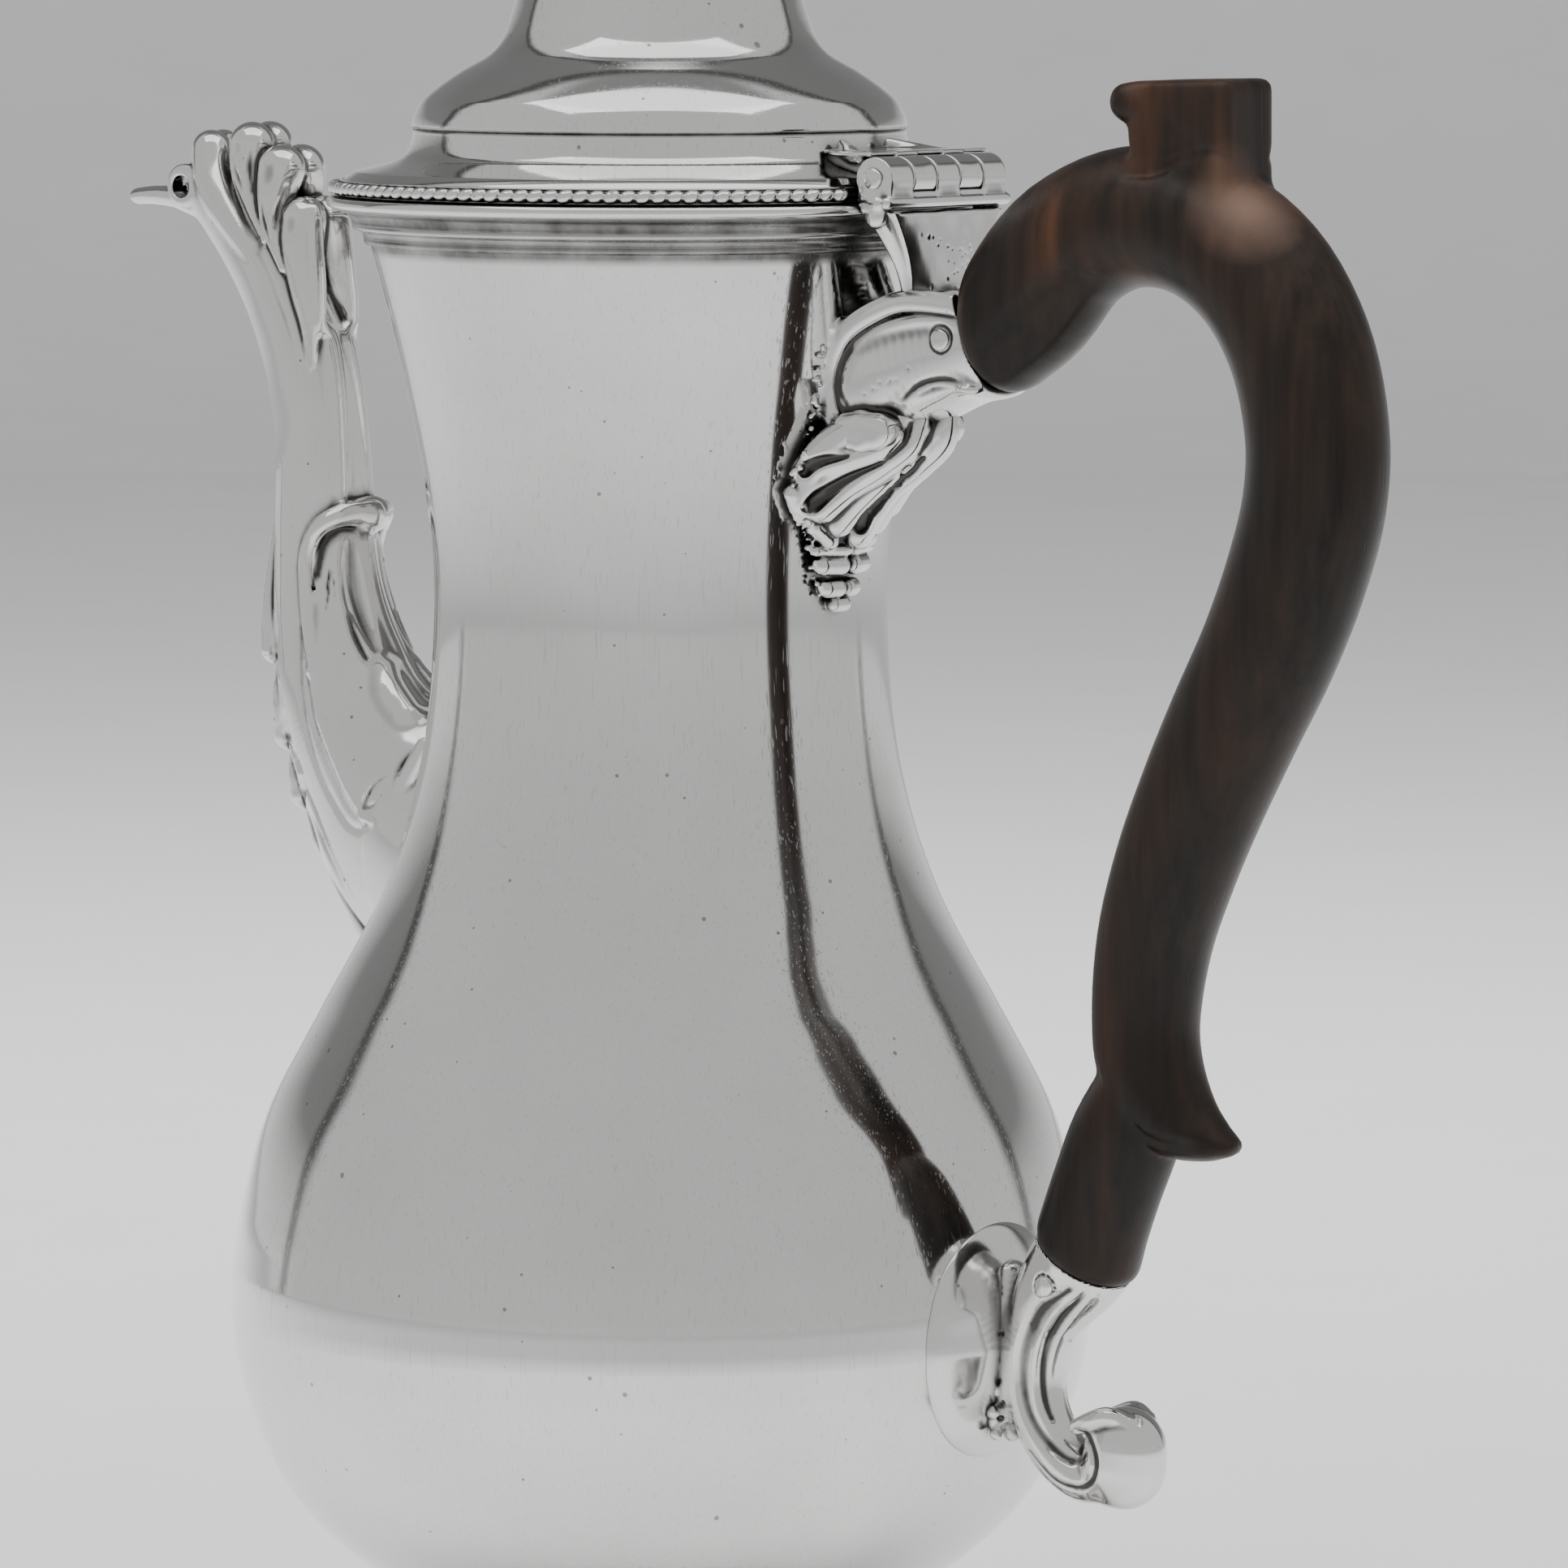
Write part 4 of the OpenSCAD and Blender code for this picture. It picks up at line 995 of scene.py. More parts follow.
# ---- hinge ----
HINGE_X, HINGE_Z = HINGE[0] / MM, HINGE[2] / MM
HINGE_HALF = ring_place("hinge_lid_leaf")[0]
KNUCKLE_R = 3.0
KNUCKLE = 2 * HINGE_HALF / 5
KNUCKLE_GAP = 0.08


def knuckle_span(i):
    return -HINGE_HALF + i * KNUCKLE + KNUCKLE_GAP, -HINGE_HALF + (i + 1) * KNUCKLE - KNUCKLE_GAP


def web_half(z):
    """Half the width of the bracket's web, which narrows in a hollow curve to its foot on the socket."""
    return 7.5 + 5.8 * np.clip((z - 219.5) / 12.6, 0, 1) ** 1.8 + 1.2 * np.clip((219.5 - z) / 3, 0, 1)


def file_hinge_bracket():
    clay = Clay((42.5, -15, 215), (54, 15, 240), 0.2)
    ledge_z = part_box("hinge_bracket")[0].z / MM + 15.6

    def web(X, Y, Z):
        climb = np.clip((Z - 219.5) / (ledge_z - 219.5), 0, 1)
        side = (np.abs(Y) - web_half(Z)) * 0.8
        middle = 48.7 + 0.8 * climb
        return np.maximum(np.maximum(side, np.abs(X - middle) - 1.05), np.abs(Z - 224.9) - 6.5)
    clay.shape(web, 0.2)
    clay.rough(0.10, 4.5, 41)
    for i in (0, 2, 4):
        low, high = knuckle_span(i)
        clay.shape(disc_across(HINGE_X, HINGE_Z, KNUCKLE_R, low, high, 0.22), 0.15)
        corner = (HINGE_X + KNUCKLE_R - 0.1, high, HINGE_Z)
        clay.shape(block((HINGE_X - 0.4, low, ledge_z + 0.3), corner, 0.2), 0.3)
    for i in (1, 3):
        low, high = knuckle_span(i)
        corner = (HINGE_X + KNUCKLE_R - 0.15, high + 0.2, HINGE_Z - 1.8)
        clay.shape(block((HINGE_X - 0.4, low - 0.2, ledge_z + 0.3), corner, 0.2), 0.3)
    clay.rod([(50, -HINGE_HALF - 0.2, ledge_z + 0.6, 0.85), (50, HINGE_HALF + 0.2, ledge_z + 0.6, 0.85)],
             0.35)
    clay.rod([(48.4, -HINGE_HALF, ledge_z + 0.5, 0.9), (48.4, HINGE_HALF, ledge_z + 0.5, 0.9)], 0.3)
    for i in (1, 3):
        low, high = knuckle_span(i)
        clay.shape(disc_across(HINGE_X, HINGE_Z, KNUCKLE_R + 0.12, low - 0.12, high + 0.12, 0.05), 0.05,
                   cut=True)
    web_edge = ((47.6, 231.2, 1.7), (47.8, 228.6, 1.35), (48.2, 225.6, 1.1), (48.6, 222.6, 0.85),
                (49, 219.4, 0.6))
    for side in (-1, 1):
        y = side * (HINGE_HALF - 0.3)
        clay.rod([(HINGE_X - 0.6, y, HINGE_Z - 3, 2.1, 0.45), (HINGE_X + 0.2, y, HINGE_Z - 5.2, 1.5, 0.6)],
                 0.8)
        clay.rod([(x, side * (web_half(z) - 0.3), z, r) for x, z, r in web_edge], 0.5)
    clay.rod([(50.4, -11, ledge_z - 0.5, 0.3), (50.6, 11, ledge_z - 0.5, 0.3)], 0.3, cut=True, snap=-0.1)
    clay.rod([(49.8, -5.8, 217.7, 1.1), (51.2, 0, 218.2, 1.3), (49.8, 5.8, 217.7, 1.1)], 0.9)
    clay.shape(disc_across(HINGE_X, HINGE_Z, 1.15, -HINGE_HALF + 0.6, HINGE_HALF - 0.6), 0.1, cut=True)
    pits(clay, [(51.6, -6, 228), (51.4, 2, 226), (51.2, 6, 224), (51, -3, 221)], 60, 0.2, 42)
    clay.trim(body_gap(*clay.everywhere()) + 0.3)
    clay.piece("hinge_bracket_filed", POT, "silver_fitting", "hinge_bracket")


def file_hinge_leaf():
    clay = Clay((32.5, -14.5, 231.5), (52, 14.5, 241.6), 0.2)
    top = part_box("hinge_lid_leaf")[1].z / MM
    for i in (1, 3):
        start, end = knuckle_span(i)
        clay.shape(disc_across(HINGE_X, HINGE_Z, KNUCKLE_R, start, end, 0.22), 0.15)
        corner = (HINGE_X - 0.3, end, top - 0.1)
        clay.shape(block((HINGE_X - KNUCKLE_R + 0.1, start, HINGE_Z - 0.4), corner, 0.2), 0.2)

    def plate(X, Y, Z):
        back = np.clip((44.0 - X) / 8.5, 0, 1)
        half = HINGE_HALF - 5.6 * back ** 1.6
        level = top - 0.28
        edges = np.maximum((np.abs(Y) - half) * 0.85, np.abs(X - 40.82) - 6.22)
        return np.maximum(edges, np.abs(Z - level) - 0.27)
    clay.shape(plate, 0.25)
    clay.shape(block((34.5, -7.2, HINGE_Z - 0.1), (HINGE_X - KNUCKLE_R - 0.4, 7.2, top - 0.1), 0.3), 0.5)
    for side in (-1, 1):
        clay.rod([(42.6, side * 9.6, 238.6, 0.9), (39.6, side * 7.8, 239, 1.2),
                  (36.2, side * 5.4, 240.2, 0.8)], 0.5)
    clay.shape(disc_across(HINGE_X, HINGE_Z, 1.15, -HINGE_HALF, HINGE_HALF), 0.1, cut=True)
    X, Y, Z = clay.everywhere()
    lid = np.sqrt(X * X + Y * Y) - np.interp(Z, *LID_SIDE).astype(np.float32)
    clay.trim(np.where(X < HINGE_X - KNUCKLE_R - 0.2, lid + 0.25, FAR))
    clay.rough(0.05, 5, 43)
    pits(clay, [(40.5, -8.4, 238.6), (38.6, -7.4, 238.4), (43.6, -10, 238)], 16, 0.25, 44)
    clay.piece("hinge_leaf_filed", LID, "silver_fitting", "hinge_lid_leaf")


# ---- spout ----
CALYX_EDGE = [(-46.2, 143.3), (-48.9, 146.3), (-51.7, 150.9), (-54.7, 156.6), (-56.9, 163), (-58.2, 169.4),
              (-58.8, 174.5), (-58.9, 178.6), (-58.3, 182), (-57, 184.7), (-55, 186.3), (-53.6, 186.9)]
CALYX_SEAM = [(-53.6, 186.9), (-53, 183), (-52.5, 178.4), (-51.2, 173), (-49.5, 168), (-47.6, 164.5),
              (-45.4, 161.6), (-42.6, 158.9)]


def raise_calyx(clay):
    """The calyx round the foot of the spout's neck: a sheath with a rolled edge and a seam down its back."""
    sheath = clay.blank()
    sheath.rod(at_side([(-61, 186, 6.9, 1.04), (-60.9, 179, 7.7, 1.02), (-59.9, 171, 8.6, 1),
                        (-57.8, 163, 10, 0.97), (-54, 153, 12.6, 0.84), (-47, 144, 15.8, 0.7),
                        (-38, 137, 18.6, 0.62)]), 0.2, steps=14)
    edge_x, edge_z = (np.array(axis) for axis in zip(*CALYX_EDGE))

    def behind_edge(X, Y, Z):
        return np.maximum(np.interp(Z, edge_z, edge_x).astype(np.float32) - X, Z - 185.6)
    sheath.keep(behind_edge, 0.5)
    clay.join(sheath, 0.25)
    clay.rod([(x, 0, z, 1) for x, z in CALYX_SEAM], 1.1, snap=0.55, steps=6)
    channel = [(-54.2, -3.3, 184, 0.7), (-53.8, -3.4, 179, 1.7), (-53, -3.5, 174, 2),
               (-51.2, -3.7, 169.4, 1.8), (-49.2, -3.9, 166.4, 1)]
    clay.groove(channel, 0.9, -1, 6)
    clay.rod([(-47.2, -3, 163.4, 1.6), (-44.6, -4.6, 160.6, 2.2), (-41.4, -5.6, 158.2, 2)], 1.8, both=True,
             snap=1.2)
    clay.groove([(-48.6, -6.4, 165.4, 0.4), (-50.6, -6.2, 168.4, 0.55), (-51.8, -6, 171.2, 0.3)], 0.5, -0.15)
    clay.groove([(-57.2, -7.4, 177, 0.5), (-56.4, -7.2, 181.4, 1.2), (-55, -6, 183.6, 1.4),
                 (-54, -3.6, 184.4, 1.2)], 1.6, -0.6, 6)
    rim = [(-56.9, -8.6, 163, 0.55), (-58.2, -8.4, 169.4, 0.8), (-58.8, -8, 174.5, 1),
           (-58.9, -7.7, 178.6, 1.15), (-58.3, -7.4, 181.4, 1.25), (-57, -6.9, 183.6, 1.4),
           (-55.2, -5.2, 185, 1.6), (-53.9, -2.8, 185.5, 1.95), (-53.1, 0, 185.2, 2.4)]
    clay.rod(rim, 1.1, both=True, steps=6)
    fillet = [(-56.9, -8.6, 163, 0.7), (-54.7, -9.2, 156.6, 0.85), (-51.7, -9.6, 150.9, 0.85),
              (-48.9, -9.9, 146.3, 0.8), (-46.2, -10, 143.3, 0.7), (-43.8, -10, 141.8, 0.4)]
    clay.rod(fillet, 0.5, both=True, snap=0.1, steps=6)
    clay.groove([(-59.8, -8, 169, 0.3), (-58.7, -8.6, 160, 0.5), (-56.6, -9, 152.8, 0.5),
                 (-54.2, -9.4, 147.4, 0.5), (-51.6, -9.8, 143.8, 0.5), (-49, -10, 141.2, 0.5),
                 (-46.8, -10, 140.6, 0.4), (-44.2, -10, 141.4, 0.3)], 0.5, -0.2, 6)
    for slit in ([(-53.9, 179.1, 0.12), (-54.2, 175.8, 0.34), (-54.8, 171.9, 0.12)],
                 [(-53.5, 178.4, 0.1), (-53.1, 176, 0.26), (-52.7, 173.6, 0.1)],
                 [(-57.5, 177.9, 0.1), (-58, 174.2, 0.28), (-58, 168.8, 0.1)]):
        clay.groove([(x - 0.6, -7.6, z, r) for x, z, r in slit], 0.2, -0.05, 6)
    hook = [(-42.4, -9.6, 148.4, 0.3), (-44.6, -9.8, 146.2, 0.5), (-45.2, -9.9, 144.4, 0.6),
            (-43.9, -9.9, 144, 0.5), (-42.6, -9.8, 145.6, 0.3)]
    clay.groove(hook, 0.4, -0.3)


def cast_spout():
    clay = Clay((-100.5, -12.8, 117), (-30, 12.8, 243.5), 0.36)
    neck = at_side([(-27, 133, 20, 0.52), (-41, 138, 18.2, 0.58), (-50, 146.4, 13.8, 0.74),
                    (-57, 157.4, 10.6, 0.9), (-60.8, 169, 8.4, 0.96), (-62, 181, 7.2, 1), (-62.4, 193, 6.7),
                    (-64.2, 205, 6.6), (-68.2, 215.5, 6.5, 0.97), (-74, 224, 6.1, 0.94),
                    (-80.2, 230.2, 5.4, 0.92), (-84.6, 232, 3.8, 1)])
    clay.rod(neck, 0.3, steps=14)
    clay.rod(at_side([(-81.6, 231, 3.8, 1.1), (-85.6, 230.2, 2.6, 1.35), (-89.5, 230.4, 1.7, 1.7),
                      (-94, 230.5, 1.4, 1.8), (-96.9, 230.3, 1.25, 1.6)]), 1.2)
    for side in (-1, 1):
        clay.shape(disc_across(-84.9, 232.2, 3.15, side * 2.2, side * 4.7, 0.7), 0.4)
    crest = (
        [(-82, -1.3, 237.4, 2.9), (-80.8, -2.4, 233.8, 3), (-78.4, -3.4, 230.2, 2.8),
         (-75.4, -4.2, 226.8, 2.2), (-72, -4.7, 223, 1.5), (-68.6, -5, 219, 0.6)],
        [(-73.6, -2, 238.2, 3.4), (-73.6, -3, 234.4, 2.7), (-71.8, -4.2, 229.2, 1.6), (-69, -5, 224.4, 0.7)],
        [(-67.8, -2.2, 234.9, 3.5), (-68, -3.2, 231, 2.9), (-67.4, -4.2, 226.2, 1.9),
         (-65.2, -5, 220.6, 0.8)],
        [(-63.6, -2.2, 227.7, 3.3), (-63.3, -3, 223.4, 3.1), (-62, -3.6, 217.4, 2.4),
         (-60.9, -4.2, 212.6, 1.5), (-60.2, -4.8, 206.4, 0.5)],
    )
    for petal in crest:
        clay.rod(petal, 0.35, both=True, steps=6)
    for x, z, radius in ((-73.8, 238.3, 4), (-67.9, 234.9, 4.2), (-63.7, 227.8, 4)):
        clay.rod([(x, -9.1, z, radius)], 0.9, cut=True, both=True)
    main = [(-78.4, -2.8, 240.3, 0.6), (-77.2, -4.6, 237.2, 0.8), (-76, -5.4, 233.6, 0.85),
            (-73.4, -6, 229.6, 0.85), (-70.8, -6.4, 225.4, 0.8), (-68, -6.4, 220.8, 0.75),
            (-65.4, -6.4, 216, 0.7), (-63.4, -6.4, 211.6, 0.55), (-61.6, -6.4, 207.4, 0.3)]
    clay.groove(main, 0.45, -0.3, 7)
    for hollow in ([(-74.6, -5.6, 236.4, 0.3), (-73.4, -5.6, 233.2, 0.75), (-71.6, -5.8, 229.6, 0.3)],
                   [(-68.6, -5.6, 230.2, 0.3), (-68.2, -5.6, 227.2, 0.7), (-66.6, -6, 223.4, 0.35)],
                   [(-71.6, -4.6, 238.6, 0.3), (-71.4, -5.2, 235.2, 0.5), (-71, -5.4, 231.6, 0.4)],
                   [(-64.6, -4.8, 232.4, 0.3), (-66.2, -5.2, 229.2, 0.5), (-66.6, -5.4, 226, 0.4)]):
        clay.groove(hollow, 0.4, -0.25)
    for side in (-1, 1):
        clay.shape(disc_across(-85.3, 232, 1.6, side * 1.4, side * 9, 0.3), 0.25, cut=True)
    back_ridge = [(-60.6, -3.4, 229.4, 0.7), (-59.6, -3.4, 222.8, 0.9), (-58.2, -3.4, 218, 0.9),
                  (-56.8, -3.6, 211, 0.9), (-55.6, -3.8, 203, 0.8), (-55, -4, 194, 0.7),
                  (-54.8, -4.2, 187, 0.6)]
    clay.rod(back_ridge, 1.3, both=True, snap=0.1, steps=6)
    raise_calyx(clay)
    leaf = (
        [(-69.9, 0, 187, 0.4), (-69.6, 0, 180, 1.3), (-69.3, 0, 171, 2.2), (-69, 0, 164.8, 2.4)],
        [(-67.8, 0, 170, 1), (-66.6, 0, 159.6, 2.5), (-66.4, 0, 152.4, 2.5)],
        [(-65, 0, 157, 1), (-63.6, 0, 149, 2.5), (-63.2, 0, 144, 2.6)],
        [(-62.4, 0, 149, 1), (-60.4, 0, 142.2, 2.5), (-59.2, 0, 137.6, 2.6)],
        [(-59, 0, 142, 1), (-56.4, 0, 134.4, 2.5), (-51.4, 0, 126.6, 2.8), (-47.6, 0, 121, 2.4)],
    )
    for blade in leaf:
        clay.rod([(x, y, z, radius, 2.2) for x, y, z, radius in blade], 0.18, steps=6)
    seam = [(-68, -3.6, 184, 0.25), (-66.6, -5.2, 176, 0.45), (-65.2, -5.8, 165, 0.5),
            (-62.8, -6.2, 157, 0.55), (-59.8, -6.8, 148.8, 0.6), (-56.4, -7.2, 142.8, 0.6),
            (-53.4, -7.6, 137.4, 0.5), (-49.8, -8, 130.4, 0.4)]
    clay.groove(seam, 0.3, -0.2, 6)
    gouges = (
        [(-67.2, -5.2, 176.4, 0.3), (-66.8, -5.8, 171, 1.4), (-66.8, -6, 166.4, 1.9),
         (-67.4, -5.4, 164.2, 1.2)],
        [(-65.2, -5.6, 160.4, 0.4), (-64.2, -6.2, 157, 1.5), (-64, -6.4, 153.8, 1.8),
         (-64.8, -5.8, 152.6, 1)],
        [(-62.6, -5.8, 151.6, 0.4), (-60.8, -6.6, 149, 1.5), (-60.4, -6.8, 146.2, 1.6),
         (-61.2, -6.2, 144.8, 1)],
        [(-58.6, -6.6, 142, 0.3), (-56.6, -7.4, 138.6, 0.7), (-53.6, -8, 133.4, 0.6),
         (-51, -8.2, 128.4, 0.3)],
    )
    for gouge in gouges:
        clay.groove(gouge, 0.35, -0.25, 6)
    band = [(-36, -9, 153, 1.4, 0.6), (-40, -9.4, 146, 1.7, 0.6), (-43, -9.2, 139.6, 1.6, 0.6),
            (-45.2, -8.4, 133, 1.4, 0.6), (-46.4, -7.4, 126, 1, 0.6), (-46.6, -5.4, 121, 0.7, 0.8)]
    clay.rod(band, 0.4, both=True, steps=6)
    clay.rough(0.05, 11, 51)
    hollow = at_side([(x + 0.2, z, max(radius - 1.5, 1), wide) for x, _, z, radius, wide in
                      [row if len(row) == 5 else (*row, 1) for row in neck[:-1]]])
    clay.rod(hollow + at_side([(-85.6, 233.6, 2.3, 1), (-90.5, 235.2, 2.1, 1), (-97, 237.4, 2.1, 1)]), 0.3,
             cut=True, steps=6)
    pits(clay, [(-66, -6.4, 200), (-64, -6.6, 190), (-62, -7, 182)], 14, 0.16, 52)
    pits(clay, [(-57, -9, 170), (-50, -9, 160), (-45, -9.4, 150)], 14, 0.16, 53)
    seat_on_body(clay, 0.8, 0.8)
    points, faces = clay.net()
    hollows = clay.hollowness(points)
    for name, node, side in (("spout_left", "spout_left_half", -1), ("spout_right", "spout_right_half", 1)):
        half = quick_mesh(name, points, faces)
        mark_hollows(half, hollows)
        split_half(half, side)
        place_piece(half, POT, "silver_casting", node)


def split_half(piece, side):
    """Keeps one side of a piece, closed with a flat face where the two castings are soldered."""
    mesh = bmesh.new()
    mesh.from_mesh(piece.data)
    cut = bmesh.ops.bisect_plane(mesh, geom=mesh.verts[:] + mesh.edges[:] + mesh.faces[:], plane_co=(0, 0, 0),
                                 plane_no=(0, side, 0), dist=1e-7, clear_inner=True)["geom_cut"]
    edges = [e for e in cut if isinstance(e, bmesh.types.BMEdge) and e.is_boundary]
    filled = bmesh.ops.triangle_fill(mesh, edges=edges, use_beauty=True, normal=(0, -side, 0))["geom"]
    for item in filled:
        if isinstance(item, bmesh.types.BMFace):
            item.smooth = False
    for edge in edges:
        if edge.is_valid:
            edge.smooth = False
    mesh.to_mesh(piece.data)
    mesh.free()


# ---- rows of beads ----
def bead_row(name, body, ring_r, ring_z, first, last, count, long_r, tall_r, wires, *nodes):
    """A ring of beads on a wire between two angles, with fillet wires (radius, height, thickness)."""
    closed = last - first > 2 * math.pi - 1e-6
    points, faces = [], []
    steps, sides = 12, 16

    def loop(angle, radius, height, thick, slant=0.0):
        ring = []
        for t in (2 * math.pi * k / sides for k in range(sides)):
            turn, out = angle + slant * thick * math.sin(t) / radius, radius + thick * math.cos(t)
            ring.append((out * math.cos(turn), out * math.sin(turn), height + thick * math.sin(t)))
        return ring

    def sweep(rings, shut):
        base = len(points)
        points.extend(point for ring in rings for point in ring)
        faces.extend(grid_faces(len(rings), sides, base, shut))
        if not shut:
            faces.append(tuple(base + k for k in reversed(range(sides))))
            faces.append(tuple(len(points) - sides + k for k in range(sides)))
    beads, pitch = [], (last - first) / count
    for i in range(count * steps + (0 if closed else 1)):
        share = (i / steps) % 1 - 0.5
        along = share * pitch * ring_r
        thick = max(max(1 - abs(along / long_r) ** 2.6, 0) ** 0.5, 0.42)
        wander = 1 + 0.05 * math.sin(i // steps * 2.4) + 0.03 * math.sin(i // steps * 5.1)
        beads.append(loop(first + i * pitch / steps, ring_r, ring_z, tall_r * thick * wander, 0.3))
    sweep(beads, closed)
    turns = [first + (last - first) * i / 240 for i in range(240 if closed else 241)]
    for radius, height, thick in wires:
        sweep([loop(turn, radius, height, thick) for turn in turns], closed)
    piece = mesh_piece(name, np.array(points) * MM + FOOT_CENTRE, faces)
    return place_piece(piece, body, "silver_moulding", *nodes)


WIRE_INSET = 1.15


def make_bead_rows():
    outside, middle = ring_place("lid_bead_border")
    radius = outside - WIRE_INSET
    gap = math.asin((HINGE_HALF + 0.7) / radius)
    bead_row("lid_beads", LID, radius, middle, gap, 2 * math.pi - gap, 119, 1.18, 0.92,
             ((radius - 0.85, middle + 0.98, 0.2), (radius - 0.5, middle - 0.95, 0.22)), "lid_bead_border")
    outside, middle = ring_place("foot_bead_border")
    radius = outside - WIRE_INSET
    bead_row("foot_beads", POT, radius, middle, 0, 2 * math.pi, 126, 1.06, 0.88,
             ((radius - 0.6, middle + 0.85, 0.3), (radius - 0.3, middle - 0.85, 0.32)), "foot_bead_border")


# ---- pins ----
def pin_piece(name, node, head_r, half, dome=0.22):
    """A pin across the pot with a low hammered dome at each end, half millimetres from the middle."""
    low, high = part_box(node)
    middle = (low + high) / 2
    half *= MM
    rows = [(0.0, half), (head_r * 0.35, half - dome * 0.06 * MM), (head_r * 0.7, half - dome * 0.35 * MM),
            (head_r * 0.92, half - dome * 0.75 * MM), (head_r, half - dome * 1.5 * MM),
            (head_r, half - 1.2 * MM), (head_r * 0.82, half - 1.3 * MM)]
    rows = [(r * MM, y) for r, y in rows] + [(r * MM, -y) for r, y in reversed(rows)]
    sides = 48
    points = []
    for r, y in rows:
        for k in range(sides):
            turn = 2 * math.pi * k / sides
            dent = 1 + 0.03 * math.sin(3 * turn + 1) + 0.02 * math.sin(5 * turn)
            points.append((middle.x + r * dent * math.cos(turn), middle.y + y,
                           middle.z + r * dent * math.sin(turn)))
    piece = mesh_piece(name, points, grid_faces(len(rows), sides, flip=True))
    weld(piece, 1e-6)
    place_piece(piece, POT, "silver_fitting", node)


def make_pins():
    pin_piece("upper_pin", "upper_socket_pin", 1.5, CHEEK_Y + 0.1)
    pin_piece("lower_pin", "lower_socket_pin", 1.4, 7.0)
    pin_piece("hinge_pin_peened", "hinge_pin", 1.45, HINGE_HALF + 0.55)


# ---- making the sculpted pieces ----
carve_handle()
cast_lower_socket()
raise_backplate()
cast_upper_socket()
cast_shell_drop()
file_hinge_bracket()
file_hinge_leaf()
cast_spout()
make_bead_rows()
make_pins()


# ---- stage ----
CAMERA_AZIMUTH = 38.0
CAMERA_DISTANCE = 1.3
SENSOR = 36
FRAME_WIDTH = 1932 * 0.115 * MM


def make_floor():
    """A pale round floor, and a coved wall far round it that the silver doesn't mirror."""
    material, tree, shader = new_material("pale_floor")
    grain = stretched_noise(tree, (0, 0, 0), (14, 14, 14), 4.0)
    colour = ramp(tree, grain, ((0.3, (0.83, 0.835, 0.84)), (0.7, (0.86, 0.86, 0.86))))
    tree.links.new(colour, shader.inputs["Base Color"])
    shader.inputs["Roughness"].default_value = 1.0
    shader.inputs["Specular IOR Level"].default_value = 0.0
    sides, edge, cove = 96, 3.0, 1.6
    turns = [2 * math.pi * k / sides for k in range(sides)]
    corner = [math.radians(angle) for angle in range(0, 91, 6)]
    rounds = {
        "floor": [(edge * share, 0.0) for share in (0.0, 0.1, 0.3, 0.6, 1.0)],
        "backdrop": [(edge + cove * math.sin(a), cove * (1 - math.cos(a))) for a in corner],
    }
    for name, rows in rounds.items():
        points = [(r * math.cos(turn), r * math.sin(turn), z) for r, z in rows for turn in turns]
        piece = mesh_piece(name, points, grid_faces(len(rows), sides))
        weld(piece, 1e-6)
        piece.data.materials.append(material)
        piece.visible_glossy = piece.visible_diffuse = piece.visible_shadow = name == "floor"


def make_camera():
    """A camera at the photograph's angle, whose view is FRAME_WIDTH wide where it aims."""
    turn = math.radians(CAMERA_AZIMUTH)
    right = Vector((math.cos(turn), math.sin(turn), 0))
    back = Vector((math.sin(turn), -math.cos(turn), 0))
    rim_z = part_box("body_shell")[1].z
    place = back * CAMERA_DISTANCE + Vector((0, 0, rim_z + 0.0451))
    aim = right * 0.01748 + Vector((0, 0, rim_z - 0.08331))
    camera = bpy.data.objects.new("camera", bpy.data.cameras.new("camera"))
    bpy.context.scene.collection.objects.link(camera)
    camera.location = place
    camera.rotation_euler = (aim - place).to_track_quat("-Z", "Y").to_euler()
    camera.data.sensor_width = SENSOR
    camera.data.lens = SENSOR * (aim - place).length / FRAME_WIDTH
    camera.data.clip_start = 0.05
    bpy.context.scene.camera = camera


def softbox(name, place, aim, width, height, power, mirrored=False):
    light = bpy.data.objects.new(name, bpy.data.lights.new(name, "AREA"))
    bpy.context.scene.collection.objects.link(light)
    light.data.shape = "RECTANGLE"
    light.data.size, light.data.size_y = width, height
    light.data.energy = power
    light.location = place
    light.visible_glossy = mirrored
    light.visible_camera = False
    light.rotation_euler = (Vector(aim) - Vector(place)).to_track_quat("-Z", "Y").to_euler()


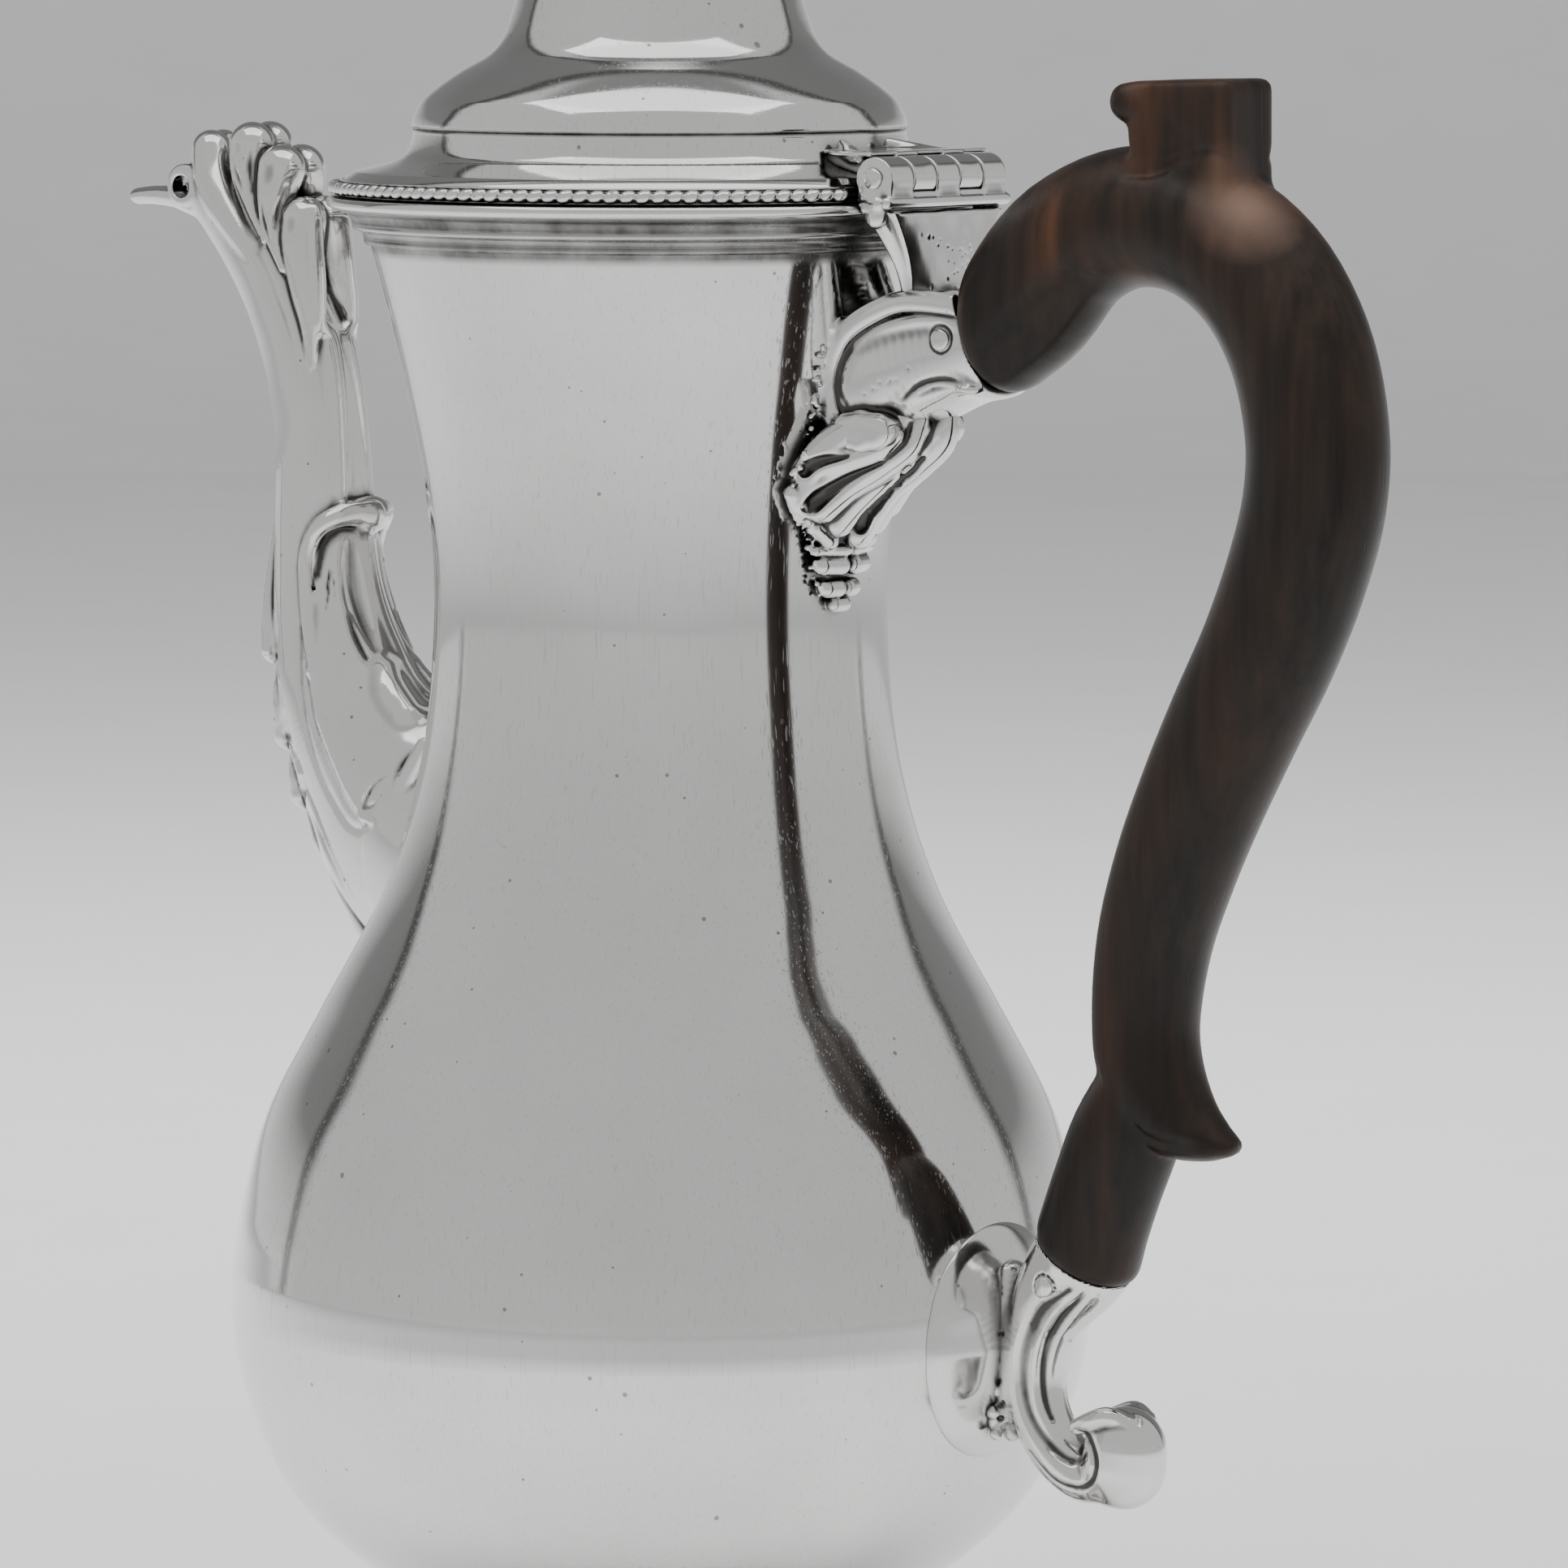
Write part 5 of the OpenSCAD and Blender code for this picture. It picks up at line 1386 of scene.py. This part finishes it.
def around(azimuth, distance, height):
    """A place seen from the pot at an angle from the camera, to the right if positive."""
    turn = math.radians(CAMERA_AZIMUTH + azimuth)
    return Vector((math.sin(turn), -math.cos(turn), 0)) * distance + Vector((0, 0, height))


def studio_world():
    """A tent round the pot: an even front, a back that is pale only low down, a dim seam and a dark top."""
    world = bpy.data.worlds.new("studio")
    world.use_nodes = True
    tree = world.node_tree
    place = add_node(tree, "ShaderNodeTexCoord")
    turned = add_node(tree, "ShaderNodeVectorRotate", rotation_type="Z_AXIS")
    turned.inputs["Angle"].default_value = math.radians(-CAMERA_AZIMUTH)
    tree.links.new(place.outputs["Generated"], turned.inputs["Vector"])
    parts = add_node(tree, "ShaderNodeSeparateXYZ")
    tree.links.new(turned.outputs["Vector"], parts.inputs["Vector"])
    half = [maths(tree, "ADD", maths(tree, "MULTIPLY", parts.outputs[axis], 0.5), 0.5) for axis in "XYZ"]
    front = ramp(tree, half[2], ((0.49, 0.64), (0.62, 0.60), (0.925, 0.60), (0.945, 0.26), (1.0, 0.20)))
    back = ramp(tree, half[2], ((0.495, 0.80), (0.54, 0.56), (0.60, 0.22), (0.75, 0.18), (1.0, 0.20)))
    wall = ramp(tree, half[1], ((0.715, 0.0), (0.735, 1.0)))
    gap = ramp(tree, half[1], ((0.735, 1.0), (0.745, 0.4), (0.765, 0.4), (0.775, 1.0)))
    light = maths(tree, "MULTIPLY", mixed(tree, wall, front, back), gap)
    background = tree.nodes["Background"]
    tree.links.new(light, background.inputs["Strength"])
    background.inputs["Color"].default_value = (1, 1, 1, 1)
    bpy.context.scene.world = world


make_camera()
make_floor()
studio_world()
softbox("window_overhead", around(0, 0.08, 0.75), (0, 0, 0.2), 0.75, 0.42, 1.35, mirrored=True)
softbox("floor_overhead", around(-5, 0.2, 0.36), (0, 0, 0), 0.4, 0.2, 0.7)
softbox("back_overhead", around(178, 0.72, 0.9), around(178, 0.8, 0), 1.2, 0.6, 10)
softbox("tent_overhead", around(0, 0.6, 4.0), around(0, 0.6, 0), 3.0, 3.0, 60)
